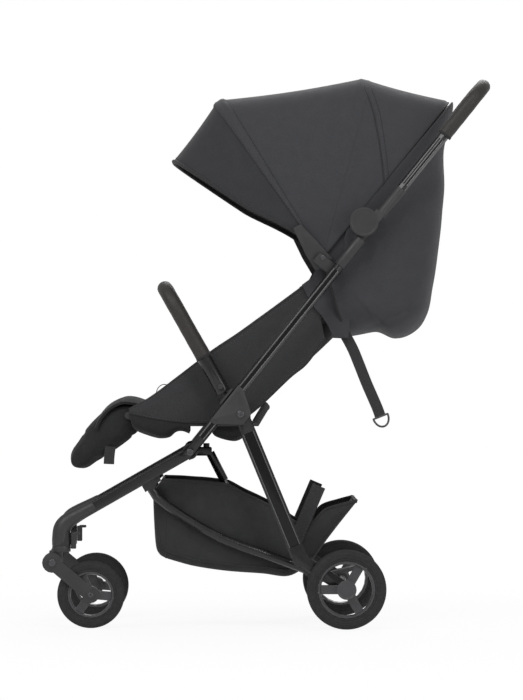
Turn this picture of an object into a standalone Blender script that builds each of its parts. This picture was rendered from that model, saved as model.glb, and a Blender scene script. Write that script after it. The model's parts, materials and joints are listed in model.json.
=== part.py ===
"""Compact travel stroller.

Metres, +Z up, the front faces -Y and +X is the stroller's own left side.
The origin is the middle of the footprint, on the ground.
"""
from math import atan2, cos, hypot, pi, radians, sin

import bmesh
import bpy
from mathutils import Matrix, Vector

# Fits
GAP = 0.0003
RUNNING_GAP = 0.0004
SIDE_PLAY = 0.0012
BITE = 0.0010
OVERRUN = 0.0010
FLUSH = 0.0003
SHARP_ANGLE = radians(35)
SCREW_MERGE = 0.00005
WELD = 0.00001

# Main side tubes, leaning back from the lower pivot
MAIN_ANGLE = radians(51.25)
LOWER_PIVOT_Y = -0.1442
LOWER_PIVOT_Z = 0.3330
MAIN_TUBE_RADIUS = 0.0095
MAIN_HALF_SPREAD = 0.2170
MAIN_TUBE_FOOT = 0.0120
LOWER_CROSS_RADIUS = 0.0080
CROSS_PIN_DEPTH = 0.0050

# Handle and its fold hubs, placed along and in front of the main tube
HUB_ALONG = 0.5434
HUB_OFFSET = 0.0157
HUB_RADIUS = 0.0275
HUB_HALF_THICKNESS = 0.0112
HUB_SLEEVE_RADIUS = 0.0108
HUB_CLEAR = 0.0290
LOWER_SLEEVE_LENGTH = 0.0640
UPPER_SLEEVE_LENGTH = 0.0640
HANDLE_LENGTH = 0.3434
HANDLE_TUBE_RADIUS = 0.0090
HANDLE_CORNER = 0.0520
GRIP_THICKNESS = 0.0045
GRIP_ARM_LENGTH = 0.1220
HUB_PIN_HALF = 0.0060
HUB_NECK_LENGTH = 0.0261
HUB_NECK_MIDDLE = 0.0209
HUB_NECK_OFFSET = 0.0031
HUB_NECK_DEPTH = 0.0190

# Rear legs and axle
REAR_PIVOT_ALONG = 0.1156
REAR_PIVOT_OFFSET = -0.0294
REAR_KNUCKLE_Y = 0.0634
REAR_KNUCKLE_Z = 0.1318
REAR_AXLE_Y = 0.1504
REAR_LEG_WIDTH = 0.0290
REAR_LEG_THICKNESS = 0.0150
REAR_PANEL_DEPTH = 0.0015
REAR_PANEL_MARGIN = 0.0050
REAR_AXLE_RADIUS = 0.0080
PIVOT_PIN_RADIUS = 0.0040
BRACKET_PLATE = 0.0022
BRACKET_MARGIN = 0.0160
BRACKET_TOP_OFFSET = 0.0080
BRACKET_TOP_REACH = 0.0400
BRACKET_FOOT_REACH = 0.0460
BRACKET_TOP_DEPTH = 0.0120
BRACKET_FOOT_DEPTH = 0.0100
BRACKET_TOE = 0.0130
BOLT_RADIUS = 0.0078
BOLT_HEAD = 0.0038
RIVET_RADIUS = 0.0028
RIVET_PROUD = 0.0012
LEG_EDGE = 0.0030
REAR_PANEL_SHARE = 0.78
REAR_PANEL_MIDDLE = 0.52
REAR_PANEL_EDGE = 0.0004
REAR_ARM_EDGE = 0.0020
RAIL_BOSS_REACH = 0.0050
RIVET_SHIFTS = (-0.0360, 0.0300)
REAR_ARM_WIDTH = 0.0240
REAR_BOSS_RADIUS = 0.0140
RAIL_BOSS_RADIUS = 0.0090

# Wheels
REAR_WHEEL_RADIUS = 0.0750
REAR_TYRE_WIDTH = 0.0290
REAR_RIM_RADIUS = 0.0540
FRONT_WHEEL_RADIUS = 0.0635
FRONT_TYRE_WIDTH = 0.0240
FRONT_RIM_RADIUS = 0.0440
WHEEL_PIN_RADIUS = 0.0045
WHEEL_HUB_RADIUS = 0.0160
SPOKE_COUNT = 3
SPOKE_WIDTH = 0.0170
SPOKE_THICKNESS = 0.0090
SPOKE_INSET = 0.0080
RIM_WALL = 0.0040
RIM_CROWN = 0.0060
WHEEL_STEPS = 24
PIN_END_WALL = 0.0045
BORE_END_GAP = 0.0006

# Front legs and casters
FRONT_TRACK_INSET = 0.0330
FRONT_HALF_TRACK = MAIN_HALF_SPREAD - FRONT_TRACK_INSET
FRONT_LEG_WIDTH = 0.0220
FRONT_LEG_THICKNESS = 0.0160
POST_Y = -0.3873
POST_RADIUS = 0.0175
POST_BASE_Z = 0.1555
POST_TOP_Z = 0.2080
ELBOW_BACK = 0.0080
ELBOW_DOWN = 0.0090
STEM_RADIUS = 0.0050
STEM_LENGTH = 0.0300
HOUSING_BASE_Z = 0.1445
FRONT_EYE_RADIUS = 0.0145
FORK_BOLT_HEAD = 0.0027
RAIL_BRACKET_THICKNESS = 0.0080
RAIL_BRACKET_FRONT = 0.0150
RAIL_BRACKET_REAR = 0.0220
RAIL_BRACKET_DEPTH = 0.0160
LOCK_BASE_Z = 0.1500
LOCK_WIDTH = 0.0120
LOCK_EDGE = 0.0012
LOCK_TAB_LENGTH = 0.0140
LOCK_TAB_THICKNESS = 0.0050
CASTER_EYE_RADIUS = 0.0160
CASTER_NECK_LENGTH = 0.0240
CASTER_NECK_SHIFT = 0.0020
FORK_BRACE_ALONG = 0.0235
FORK_BRACE_ASIDE = 0.0060
LOCK_HEIGHT = 0.0300
LOCK_DEPTH = 0.0100
CASTER_TRAIL = 0.0556
ARM_PIVOT_Y = -0.4043
ARM_PIVOT_Z = 0.1240
ARM_PIVOT_RADIUS = 0.0190
ARM_AXLE_END_RADIUS = 0.0150
ARM_PLATE = 0.0042
ARM_BAR_WIDTH = 0.0260

# Lower side rails
RAIL_INSET = 0.0640
RAIL_HALF_SPREAD = MAIN_HALF_SPREAD - RAIL_INSET
RAIL_RADIUS = 0.0088
RAIL_EYE_RADIUS = 0.0115
RAIL_FRONT_Y = -0.2196
RAIL_FRONT_Z = 0.2707
RAIL_REAR_Y = 0.0822
RAIL_REAR_Z = 0.1066
RAIL_SHAPE = ((0.0, 0.0), (0.062, 0.0154), (0.247, 0.0236), (0.488, 0.0252), (0.745, 0.0127), (1.0, 0.0))

# Basket
BASKET_INSET = 0.0150
BASKET_HALF_WIDTH = RAIL_HALF_SPREAD - BASKET_INSET
BASKET_WALL = 0.0030
BASKET_TOP = ((0.0968, 0.2304), (0.0025, 0.2325), (-0.0729, 0.2692), (-0.1928, 0.2793))
BASKET_FOOT = (
    (-0.2140, 0.2384), (-0.2083, 0.1437), (-0.2005, 0.1340), (-0.1331, 0.1145), (-0.0750, 0.1060),
    (-0.0073, 0.1010), (0.0449, 0.0963), (0.0850, 0.1250), (0.1163, 0.1667), (0.1749, 0.2417),
)
BASKET_MOUTH = 0.0600
STAY_MIDDLE = (0.0754, 0.2132)
STAY_ANGLE = radians(67.3)
STAY_LENGTH = 0.1230
STAY_WIDTH = 0.0260
STAY_THICKNESS = 0.0020

# Stuffed pads
CUSHION_CROWN = 0.02
CHANNEL_REACH = 0.16
NEARLY = 1e-6

# Seat, backrest, footrest
SEAT_INSET = 0.0620
SEAT_HALF_WIDTH = MAIN_HALF_SPREAD - SEAT_INSET
SEAT_DRAWN_IN = 0.06
SEAT_CHANNEL_DEPTH = 0.16
SEAT_TUBE_ALONG = 0.0520
SEAT_TUBE_RADIUS = 0.0070
SEAT_BOARD_THICKNESS = 0.0060
SEAT_BOARD_FRONT_Y = -0.2290
SEAT_BOARD_REAR_Y = -0.0150
SEAT_CUSHION_THICKNESS = 0.0300
SEAT_CHANNELS = (-0.34, 0.34)
SEAT_BACK_GAP = 0.0110
SEAT_EDGE = 0.0050
SEAT_LIFT = 0.0020
WING_THICKNESS = 0.0050
WING_OUTLINE = (
    (-0.2300, 0.4080), (-0.2180, 0.4357), (-0.1600, 0.4810), (-0.1027, 0.5228), (-0.0120, 0.5840),
    (0.0825, 0.6531), (0.0965, 0.6400), (0.1024, 0.6000), (0.1024, 0.5444), (0.0765, 0.5001),
    (0.0440, 0.4729), (-0.0150, 0.4120), (-0.0600, 0.3960), (-0.1462, 0.3895), (-0.2200, 0.3960),
)
BACK_PIVOT_BACK = 0.0150
BACK_PIVOT_UP = 0.0300
FOOT_PIVOT_FRONT = 0.0330
FOOT_PIVOT_UP = 0.0200
BACK_LENGTH = 0.4100
BACK_INSET = 0.0050
BACK_HALF_WIDTH = SEAT_HALF_WIDTH - BACK_INSET
BACK_DRAWN_IN = 0.05
BACK_CHANNEL_DEPTH = 0.14
BACK_THICKNESS = 0.0280
BACK_CHANNELS = (-0.5, 0.0, 0.5)
BACK_CROWN = 0.0040
BACK_TOP_ROUND = 0.0150
STRAP_SPREAD = 0.0550
STRAP_LIFT = 0.0075
SHOULDER_STRAP = (0.0340, 0.2400, 0.0040)
SHOULDER_STRAP_MIDDLE = 0.2100
WAIST_STRAP_WIDTH = 0.0250
WAIST_STRAP_THICKNESS = 0.0030
WAIST_STRAP_ALONG = 0.1050
RECLINE_STRAP_X = SEAT_HALF_WIDTH
RECLINE_STRAP_TOP = (0.1530, 0.5380)
RECLINE_STRAP_FOOT = (0.2185, 0.4090)
RECLINE_STRAP_WIDTH = 0.0210
RECLINE_STRAP_THICKNESS = 0.0020
RING_RADIUS = 0.0130
RING_WIRE = 0.0020
RING_DROP = 0.0110
CROTCH_STRAP_BACK = 0.0990
CROTCH_STRAP_ANGLE = radians(70)
CROTCH_STRAP = (0.0250, 0.0460, 0.0024)
CROTCH_STRAP_MIDDLE = 0.0240
BUCKLE = (0.0440, 0.0500, 0.0140)
BUCKLE_MIDDLE = 0.0665
BUCKLE_POCKET = (0.0015, 0.0100)
BUCKLE_BUTTON = (0.0045, 0.0085)
BUCKLE_BUTTON_RADIUS = 0.0090
EAR_THICKNESS = 0.0035
EAR_WIDTH = 0.0120
EAR_ROOT = 0.0050
EAR_RADIUS = 0.0070
PIN_REACH = 0.0080
FOOTREST_INSET = 0.0200
FOOTREST_HALF_WIDTH = SEAT_HALF_WIDTH - FOOTREST_INSET
FOOTREST_DRAWN_IN = 0.08
FOOTREST_CHANNEL_DEPTH = 0.10
FOOTREST_ANGLE = radians(222)
FOOTREST_CHANNELS = (-0.4, 0.3)
FOOTREST_SECTION = (
    (0.1380, -0.0150), (0.0720, -0.0330), (0.0060, -0.0310), (-0.0310, 0.0), (0.0060, 0.0300),
    (0.0780, 0.0260), (0.1380, 0.0150), (0.1500, 0.0),
)

# Hood
HOOD_HINGE_ALONG = 0.4427
HOOD_HINGE_OFFSET = 0.0339
HOOD_REAR_ANGLE = radians(50.6)
HOOD_MID_ANGLE = radians(76.3)
HOOD_FRONT_ANGLE = radians(123.1)
HOOD_VISOR_ANGLE = radians(146.5)
HOOD_REAR_REACH = 0.3830
HOOD_MID_REACH = 0.3500
HOOD_FRONT_REACH = 0.3555
HOOD_VISOR_REACH = 0.3360
RIB_THICKNESS = 0.0030
RIB_WIDTH = 0.0120
RIB_LANE = 0.0045
FRONT_RIB_INSET = 0.0410
FRONT_RIB_HALF_SPREAD = MAIN_HALF_SPREAD - FRONT_RIB_INSET
HOOD_CLOTH = 0.0025
CLOTH_SAG = 0.010
RIB_EYE_RADIUS = 0.0100
SEAM = radians(0.3)
CLOTH_OVER_BOW = 0.0026
CLOTH_TURN = radians(84)
BACK_TURN = radians(80)
BOW_ROUNDNESS = 4.0
CLIP_INSET = 0.0060
CLIP_ALONG = -0.0060
CLIP_OFFSET = 0.0190
CLIP_SIZE = (0.0240, 0.0520)
HINGE_PIN_INSET = 0.0010
BACK_REACHES = (
    (-74.0, 0.1590), (-67.0, 0.1580), (-52.0, 0.1749), (-46.0, 0.2093), (-36.5, 0.2264),
    (-27.1, 0.2272), (-13.2, 0.2192), (3.7, 0.2239), (18.8, 0.2437), (29.6, 0.2707), (41.7, 0.3140),
)
BACK_TOP_ANGLES = (49.3, 50.3)

# Bumper bar
BUMPER_ALONG = 0.1252
BUMPER_OFFSET = 0.0157
BUMPER_ANGLE = radians(119.5)
BUMPER_LENGTH = 0.2317
BUMPER_INSET = 0.0170
BUMPER_HALF_SPREAD = MAIN_HALF_SPREAD - BUMPER_INSET
BUMPER_TUBE_RADIUS = 0.0080
BUMPER_SLEEVE_RADIUS = 0.0145
BUMPER_END_LENGTH = 0.0800
BUMPER_PEG_RADIUS = 0.0050
BUMPER_CORNER = 0.0500
BUMPER_END_START = 0.0060
BUMPER_END_RADIUS = 0.0135
BUMPER_TUBE_START = 0.0400
PEG_LENGTH = 0.0340
SADDLE_THICKNESS = 0.0050
BUTTON_ALONG = 0.0180
BUTTON_RADIUS = 0.0055
BUTTON_PROUD = 0.0015
BUTTON_TRAVEL = 0.0028
SADDLE_LENGTH = 0.0360
SADDLE_INSET = 0.0070
PEG_SINK = 0.0020
SOCKET_WALL = 0.0012

# Fold strut under the seat
STRUT_RADIUS = 0.0085
STRUT_ROD_RADIUS = 0.0055
STRUT_ANGLE = radians(-63.0)
STRUT_TUBE_LENGTH = 0.0600
STRUT_ROD_LENGTH = 0.0900
STRUT_HALF_WIDTH = 0.0120
KNOB_RADIUS = 0.0060
STRUT_ELBOW_BACK = 0.0370
STRUT_ELBOW_DOWN = 0.0055
STRUT_BRIDGE_LENGTH = 0.0440
STRUT_EYE_WALL = 0.0045
STRUT_ROD_START = 0.0120
KNOB_BACK = 0.0300
KNOB_TOP = 0.0130
KNOB_FOOT = 0.0020
KNOB_TRAVEL = 0.0060

# Brake
BRAKE_Y = 0.1150
BRAKE_Z = 0.0970
BRAKE_BAR_RADIUS = 0.0050
BRAKE_PEDAL_LENGTH = 0.0750
BRAKE_PEDAL_WIDTH = 0.0600
BRAKE_PEDAL_X = 0.1150
BRAKE_PEDAL_ANGLE = radians(15)
BRAKE_SEAT = 0.0050
BRAKE_END_GAP = 0.0008
BRAKE_PEDAL_THICKNESS = 0.0080
BLOCK_EDGE = 0.0020

COLLECTION = "stroller"

# Places that follow from the sizes above
REAR_AXLE_Z = REAR_WHEEL_RADIUS
FRONT_AXLE_Y = POST_Y + CASTER_TRAIL
FRONT_AXLE_Z = FRONT_WHEEL_RADIUS
REAR_LEG_X = MAIN_HALF_SPREAD - 0.0040
REAR_WHEEL_X = REAR_LEG_X + REAR_LEG_THICKNESS / 2 + REAR_TYRE_WIDTH / 2 + SIDE_PLAY
REAR_PIN_END = REAR_WHEEL_X + REAR_TYRE_WIDTH / 2 - PIN_END_WALL
SIDES = (("left", 1), ("right", -1))


def along_tube(along, offset=0.0):
    """Point (y, z) at a distance up the main tube, and in front of its line."""
    y = LOWER_PIVOT_Y + along * cos(MAIN_ANGLE) - offset * sin(MAIN_ANGLE)
    z = LOWER_PIVOT_Z + along * sin(MAIN_ANGLE) + offset * cos(MAIN_ANGLE)
    return (y, z)


def ahead(point, angle, distance, aside=0.0):
    """Point (y, z) at a distance from another in a direction, and to its left."""
    y = point[0] + distance * cos(angle) - aside * sin(angle)
    z = point[1] + distance * sin(angle) + aside * cos(angle)
    return (y, z)


def bearing(start, end):
    """Direction from one (y, z) point to another."""
    return atan2(end[1] - start[1], end[0] - start[0])


def span(start, end):
    """Distance between two (y, z) points."""
    return hypot(end[0] - start[0], end[1] - start[1])


def at(x, point):
    """A point in space from x and a (y, z) point."""
    return Vector((x, point[0], point[1]))


LOWER_PIVOT = (LOWER_PIVOT_Y, LOWER_PIVOT_Z)
HUB = along_tube(HUB_ALONG, HUB_OFFSET)
REAR_PIVOT = along_tube(REAR_PIVOT_ALONG, REAR_PIVOT_OFFSET)
REAR_KNUCKLE = (REAR_KNUCKLE_Y, REAR_KNUCKLE_Z)
REAR_AXLE = (REAR_AXLE_Y, REAR_AXLE_Z)
BRAKE = (BRAKE_Y, BRAKE_Z)
FRONT_AXLE = (FRONT_AXLE_Y, FRONT_AXLE_Z)
ARM_PIVOT = (ARM_PIVOT_Y, ARM_PIVOT_Z)
RAIL_FRONT = (RAIL_FRONT_Y, RAIL_FRONT_Z)
RAIL_REAR = (RAIL_REAR_Y, RAIL_REAR_Z)
SEAT_TUBE = along_tube(SEAT_TUBE_ALONG)
SEAT_BOARD_Z = SEAT_TUBE[1] + SEAT_TUBE_RADIUS + GAP
SEAT_TOP_Z = SEAT_BOARD_Z + SEAT_BOARD_THICKNESS + GAP
BACK_PIVOT = (SEAT_BOARD_REAR_Y + BACK_PIVOT_BACK, SEAT_TOP_Z + BACK_PIVOT_UP)
FOOT_PIVOT = (SEAT_BOARD_FRONT_Y - FOOT_PIVOT_FRONT, SEAT_BOARD_Z + FOOT_PIVOT_UP)
HOOD_HINGE = along_tube(HOOD_HINGE_ALONG, HOOD_HINGE_OFFSET)
BUMPER_BASE = along_tube(BUMPER_ALONG, BUMPER_OFFSET)
HANDLE_START = along_tube(HUB_ALONG)

SIDE_VIEW = Matrix(((0, 0, 1, 0), (1, 0, 0, 0), (0, 1, 0, 0), (0, 0, 0, 1)))


def material(name, colour, roughness, metallic=0.0):
    """A plain Principled material."""
    made = bpy.data.materials.new(name)
    made.use_nodes = True
    shader = made.node_tree.nodes["Principled BSDF"]
    shader.inputs["Base Color"].default_value = (*colour, 1.0)
    shader.inputs["Roughness"].default_value = roughness
    shader.inputs["Metallic"].default_value = metallic
    return made


def new_object(mesh):
    """An object for a mesh, in the stroller's collection."""
    made = bpy.data.objects.new("piece", mesh)
    bpy.data.collections[COLLECTION].objects.link(made)
    return made


def from_bmesh(shape):
    """An object from a bmesh, with its faces pointing out."""
    bmesh.ops.recalc_face_normals(shape, faces=shape.faces)
    mesh = bpy.data.meshes.new("piece")
    shape.to_mesh(mesh)
    shape.free()
    return new_object(mesh)


def baked(source):
    """The evaluated mesh of a curve or of a modified object, welded, in place of it."""
    graph = bpy.context.evaluated_depsgraph_get()
    mesh = bpy.data.meshes.new_from_object(source.evaluated_get(graph))
    shape = bmesh.new()
    shape.from_mesh(mesh)
    bmesh.ops.remove_doubles(shape, verts=shape.verts, dist=WELD)
    bmesh.ops.recalc_face_normals(shape, faces=shape.faces)
    shape.to_mesh(mesh)
    shape.free()
    made = new_object(mesh)
    made.matrix_world = source.matrix_world
    bpy.data.objects.remove(source)
    return made


def rod(start, end, radius, sides=12):
    """A cylinder between two points."""
    run = end - start
    turn = run.to_track_quat("Z", "Y").to_matrix().to_4x4()
    place = Matrix.Translation((start + end) / 2) @ turn
    shape = bmesh.new()
    bmesh.ops.create_cone(
        shape, cap_ends=True, segments=sides, radius1=radius, radius2=radius, depth=run.length,
        matrix=place,
    )
    return from_bmesh(shape)


def cross_rod(point, x_low, x_high, radius, sides=12):
    """A cylinder across the stroller at a (y, z) point."""
    return rod(at(x_low, point), at(x_high, point), radius, sides)


def block(centre, size, angle=0.0, bevel=0.0):
    """A box turned in the side view, with its edges bevelled."""
    place = Matrix.Translation(centre) @ Matrix.Rotation(angle, 4, "X")
    shape = bmesh.new()
    bmesh.ops.create_cube(shape, size=1.0, matrix=place @ Matrix.Diagonal((*size, 1.0)))
    if bevel:
        bmesh.ops.bevel(shape, geom=shape.edges[:], offset=bevel, segments=1, affect="EDGES")
    return from_bmesh(shape)


def plate(outline, x_low, x_high):
    """A flat outline of (y, z) points, thick from x_low to x_high."""
    data = bpy.data.curves.new("outline", "CURVE")
    data.dimensions = "2D"
    data.fill_mode = "BOTH"
    data.extrude = abs(x_high - x_low) / 2
    spline = data.splines.new("POLY")
    spline.points.add(len(outline) - 1)
    for point, place in zip(spline.points, outline):
        point.co = (place[0], place[1], 0.0, 1.0)
    spline.use_cyclic_u = True
    source = new_object(data)
    source.matrix_world = Matrix.Translation(((x_low + x_high) / 2, 0.0, 0.0)) @ SIDE_VIEW
    bpy.context.view_layer.update()
    return baked(source)


def tube(points, radius, resolution=2):
    """A bent tube with filled ends."""
    data = bpy.data.curves.new("route", "CURVE")
    data.dimensions = "3D"
    data.bevel_depth = radius
    data.bevel_resolution = resolution
    data.use_fill_caps = True
    spline = data.splines.new("POLY")
    spline.points.add(len(points) - 1)
    for point, place in zip(spline.points, points):
        point.co = (*place, 1.0)
    return baked(new_object(data))


def turned(profile, centre, steps):
    """A closed profile of (radius, x) points turned about a line across the stroller."""
    shape = bmesh.new()
    corners = [shape.verts.new((radius, 0.0, depth)) for radius, depth in profile]
    for first, second in zip(corners, corners[1:] + corners[:1]):
        shape.edges.new((first, second))
    mesh = bpy.data.meshes.new("profile")
    shape.to_mesh(mesh)
    shape.free()
    source = new_object(mesh)
    screw = source.modifiers.new("turn", "SCREW")
    screw.steps = steps
    screw.render_steps = steps
    screw.use_merge_vertices = True
    screw.merge_threshold = SCREW_MERGE
    source.matrix_world = Matrix.Translation(centre) @ Matrix.Rotation(pi / 2, 4, "Y")
    bpy.context.view_layer.update()
    return baked(source)


def sheet(surface, across, down, thickness):
    """A curved cloth or strip about its middle surface, for u and v from -1 to 1."""
    shape = bmesh.new()
    bmesh.ops.create_grid(shape, x_segments=across, y_segments=down, size=1.0)
    for corner in shape.verts:
        corner.co = surface(corner.co.x, corner.co.y)
    mesh = bpy.data.meshes.new("sheet")
    shape.to_mesh(mesh)
    shape.free()
    source = new_object(mesh)
    wall = source.modifiers.new("thickness", "SOLIDIFY")
    wall.thickness = thickness
    wall.offset = 0.0
    wall.use_even_offset = True
    bpy.context.view_layer.update()
    return baked(source)


def smooth_loop(corners, fraction):
    """Point on the smooth closed curve through (y, z) corners, at 0 to 1 of the way round."""
    count = len(corners)
    place = (fraction % 1.0) * count
    index = int(place) % count
    step = place - int(place)
    a, b, c, d = (Vector(corners[(index + shift) % count]) for shift in (-1, 0, 1, 2))
    return (
        2 * b + (c - a) * step + (2 * a - 5 * b + 4 * c - d) * step ** 2
        + (3 * b - a - 3 * c + d) * step ** 3
    ) / 2


def cushion(corners, half_width, cuts, drawn_in, channels, channel_depth):
    """A stuffed pad: its side view is a smooth loop, its ends draw in and its sides swell.

    The corners start at the upper front and run round so that a quarter of them lies on
    each side of the pad. Channels are the places, -1 to 1 from front to back, of sewn lines.
    """
    shape = bmesh.new()
    bmesh.ops.create_cube(shape, size=2.0)
    bmesh.ops.subdivide_edges(shape, edges=shape.edges[:], cuts=cuts, use_grid_fill=True)
    middle = Vector((
        sum(corner[0] for corner in corners) / len(corners),
        sum(corner[1] for corner in corners) / len(corners),
    ))
    for corner in shape.verts:
        width, front_back, low_high = corner.co
        rim = max(abs(front_back), abs(low_high), NEARLY)
        side, height = front_back / rim, low_high / rim
        if height >= 1 - NEARLY:
            fraction = 0.25 * (side + 1) / 2
        elif side >= 1 - NEARLY:
            fraction = 0.25 + 0.25 * (1 - height) / 2
        elif height <= -1 + NEARLY:
            fraction = 0.50 + 0.25 * (1 - side) / 2
        else:
            fraction = 0.75 + 0.25 * (height + 1) / 2
        reach = rim * (1 - drawn_in * abs(width) ** 4)
        for line in channels:
            nearness = max(0.0, 1 - abs(front_back - line) / CHANNEL_REACH)
            reach *= 1 - channel_depth * nearness ** 2 * (abs(height) > 1 - NEARLY)
        place = middle + (smooth_loop(corners, fraction) - middle) * reach
        x = half_width * width * (1 - CUSHION_CROWN * rim ** 3 * abs(width))
        corner.co = at(x, place)
    return from_bmesh(shape)


def boolean(base, others, operation):
    """Base with others joined to it or cut from it. The others are used up."""
    for other in others:
        step = base.modifiers.new("step", "BOOLEAN")
        step.operation = operation
        step.object = other
        bpy.context.view_layer.update()
        base = baked(base)
        bpy.data.objects.remove(other)
    return base


def joined(*pieces):
    """One closed body from overlapping pieces."""
    return boolean(pieces[0], pieces[1:], "UNION")


def cut(base, *cutters):
    """A piece with others cut out of it."""
    return boolean(base, cutters, "DIFFERENCE")


def node(name, finish, piece):
    """A named sub-part in its material, with its place in its mesh."""
    mesh = piece.data.copy()
    mesh.transform(piece.matrix_world)
    bpy.data.objects.remove(piece)
    made = new_object(mesh)
    made.name = name
    made.data.name = name
    made.data.materials.append(bpy.data.materials[finish])
    made.data.shade_smooth()
    made.data.set_sharp_from_angle(angle=SHARP_ANGLE)
    return made


def u_loop(base, angle, first, last, half_spread, corner, steps=6):
    """Route of a U tube whose arms run from first to last in a side-view direction."""
    left = [at(half_spread, ahead(base, angle, first))]
    for step in range(steps + 1):
        turn = (pi / 2) * step / steps
        x = half_spread - corner * (1 - cos(turn))
        left.append(at(x, ahead(base, angle, last - corner + corner * sin(turn))))
    return left + [Vector((-place.x, place.y, place.z)) for place in reversed(left)]


def smooth_route(corners, steps):
    """Smooth open curve through (y, z) corners."""
    first = (2 * corners[0][0] - corners[1][0], 2 * corners[0][1] - corners[1][1])
    last = (2 * corners[-1][0] - corners[-2][0], 2 * corners[-1][1] - corners[-2][1])
    padded = [first, *corners, last]
    count = len(padded)
    route = []
    for index in range(1, count - 2):
        for step in range(steps):
            route.append(smooth_loop(padded, (index + step / steps) / count))
    return route + [Vector(corners[-1])]


def main_frame():
    """Side tubes, the cross tubes between them, and the brackets of the rear legs."""
    tube_top = HUB_ALONG - HUB_CLEAR - LOWER_SLEEVE_LENGTH - GAP
    cross_reach = MAIN_HALF_SPREAD - MAIN_TUBE_RADIUS - GAP
    inner = REAR_LEG_X - REAR_LEG_THICKNESS / 2 - GAP
    outer = MAIN_HALF_SPREAD + MAIN_TUBE_RADIUS + GAP
    rivets = [along_tube(REAR_PIVOT_ALONG + shift) for shift in RIVET_SHIFTS]
    for name, side in SIDES:
        x = side * MAIN_HALF_SPREAD
        side_tube = rod(at(x, along_tube(-MAIN_TUBE_FOOT)), at(x, along_tube(tube_top)),
                        MAIN_TUBE_RADIUS, 14)
        holes = [
            cross_rod(place, x - 2 * MAIN_TUBE_RADIUS, x + 2 * MAIN_TUBE_RADIUS, radius + GAP)
            for place, radius in ((LOWER_PIVOT, PIVOT_PIN_RADIUS), (rivets[0], RIVET_RADIUS),
                                  (rivets[1], RIVET_RADIUS))
        ]
        node("main_tube_" + name, "frame black", cut(side_tube, *holes))

    lower = cross_rod(LOWER_PIVOT, -cross_reach, cross_reach, LOWER_CROSS_RADIUS)
    for name, side in SIDES:
        lower = joined(
            lower,
            cross_rod(LOWER_PIVOT, side * (cross_reach - CROSS_PIN_DEPTH), side * (outer + BITE),
                      PIVOT_PIN_RADIUS),
            cross_rod(LOWER_PIVOT, side * outer, side * (outer + BOLT_HEAD), BOLT_RADIUS),
        )
    node("lower_cross_tube", "frame black", lower)
    node("seat_cross_tube", "frame black",
         cross_rod(SEAT_TUBE, -cross_reach, cross_reach, SEAT_TUBE_RADIUS))

    outline = [
        along_tube(REAR_PIVOT_ALONG + BRACKET_TOP_REACH, BRACKET_TOP_OFFSET),
        along_tube(REAR_PIVOT_ALONG - BRACKET_FOOT_REACH, BRACKET_TOP_OFFSET),
        along_tube(REAR_PIVOT_ALONG - BRACKET_FOOT_REACH, BRACKET_TOP_OFFSET - BRACKET_FOOT_DEPTH),
        along_tube(REAR_PIVOT_ALONG - BRACKET_TOE, REAR_PIVOT_OFFSET - BRACKET_MARGIN),
        along_tube(REAR_PIVOT_ALONG + BRACKET_TOE, REAR_PIVOT_OFFSET - BRACKET_MARGIN),
        along_tube(REAR_PIVOT_ALONG + BRACKET_TOP_REACH, BRACKET_TOP_OFFSET - BRACKET_TOP_DEPTH),
    ]
    for name, side in SIDES:
        low, high = inner - BRACKET_PLATE, outer + BRACKET_PLATE
        bracket = joined(
            plate(outline, side * low, side * inner),
            cross_rod(REAR_PIVOT, side * (low - BOLT_HEAD), side * (high + BOLT_HEAD),
                      PIVOT_PIN_RADIUS),
            plate(outline, side * outer, side * high),
            cross_rod(REAR_PIVOT, side * (low - BOLT_HEAD), side * (low + BITE), BOLT_RADIUS),
            cross_rod(REAR_PIVOT, side * (high - BITE), side * (high + BOLT_HEAD), BOLT_RADIUS),
        )
        for place in rivets:
            bracket = joined(bracket, cross_rod(place, side * (low - RIVET_PROUD),
                                                side * (high + RIVET_PROUD), RIVET_RADIUS))
        node("leg_bracket_" + name, "plastic black", bracket)


def hub_half(x, low, high, direction, sleeve_length):
    """Sleeve, neck and disc of one half of a fold hub, below the hub or above it."""
    sleeve = rod(at(x, along_tube(HUB_ALONG + direction * HUB_CLEAR)),
                 at(x, along_tube(HUB_ALONG + direction * (HUB_CLEAR + sleeve_length))),
                 HUB_SLEEVE_RADIUS, 14)
    neck = block(at((low + high) / 2, along_tube(HUB_ALONG + direction * HUB_NECK_MIDDLE, HUB_NECK_OFFSET)),
                 (abs(high - low) - 2 * FLUSH, HUB_NECK_LENGTH, HUB_NECK_DEPTH), MAIN_ANGLE)
    return joined(sleeve, neck, cross_rod(HUB, low, high, HUB_RADIUS, 22))


def hubs():
    """The two halves of each handle-fold hub, with the pin that holds them."""
    for name, side in SIDES:
        x = side * MAIN_HALF_SPREAD
        middle = side * GAP / 2
        inner = x - side * HUB_HALF_THICKNESS
        outer = x + side * HUB_HALF_THICKNESS
        lower = hub_half(x, inner, x - middle, -1, LOWER_SLEEVE_LENGTH)
        upper = hub_half(x, x + middle, outer, 1, UPPER_SLEEVE_LENGTH)
        pin = cross_rod(HUB, x - side * HUB_PIN_HALF, x + side * HUB_PIN_HALF, PIVOT_PIN_RADIUS)
        hole = cross_rod(HUB, x - side * OVERRUN, x + side * (HUB_PIN_HALF + BITE),
                         PIVOT_PIN_RADIUS + RUNNING_GAP)
        node("lower_hub_" + name, "plastic black", joined(lower, pin))
        node("upper_hub_" + name, "plastic black", cut(upper, hole))


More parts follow.
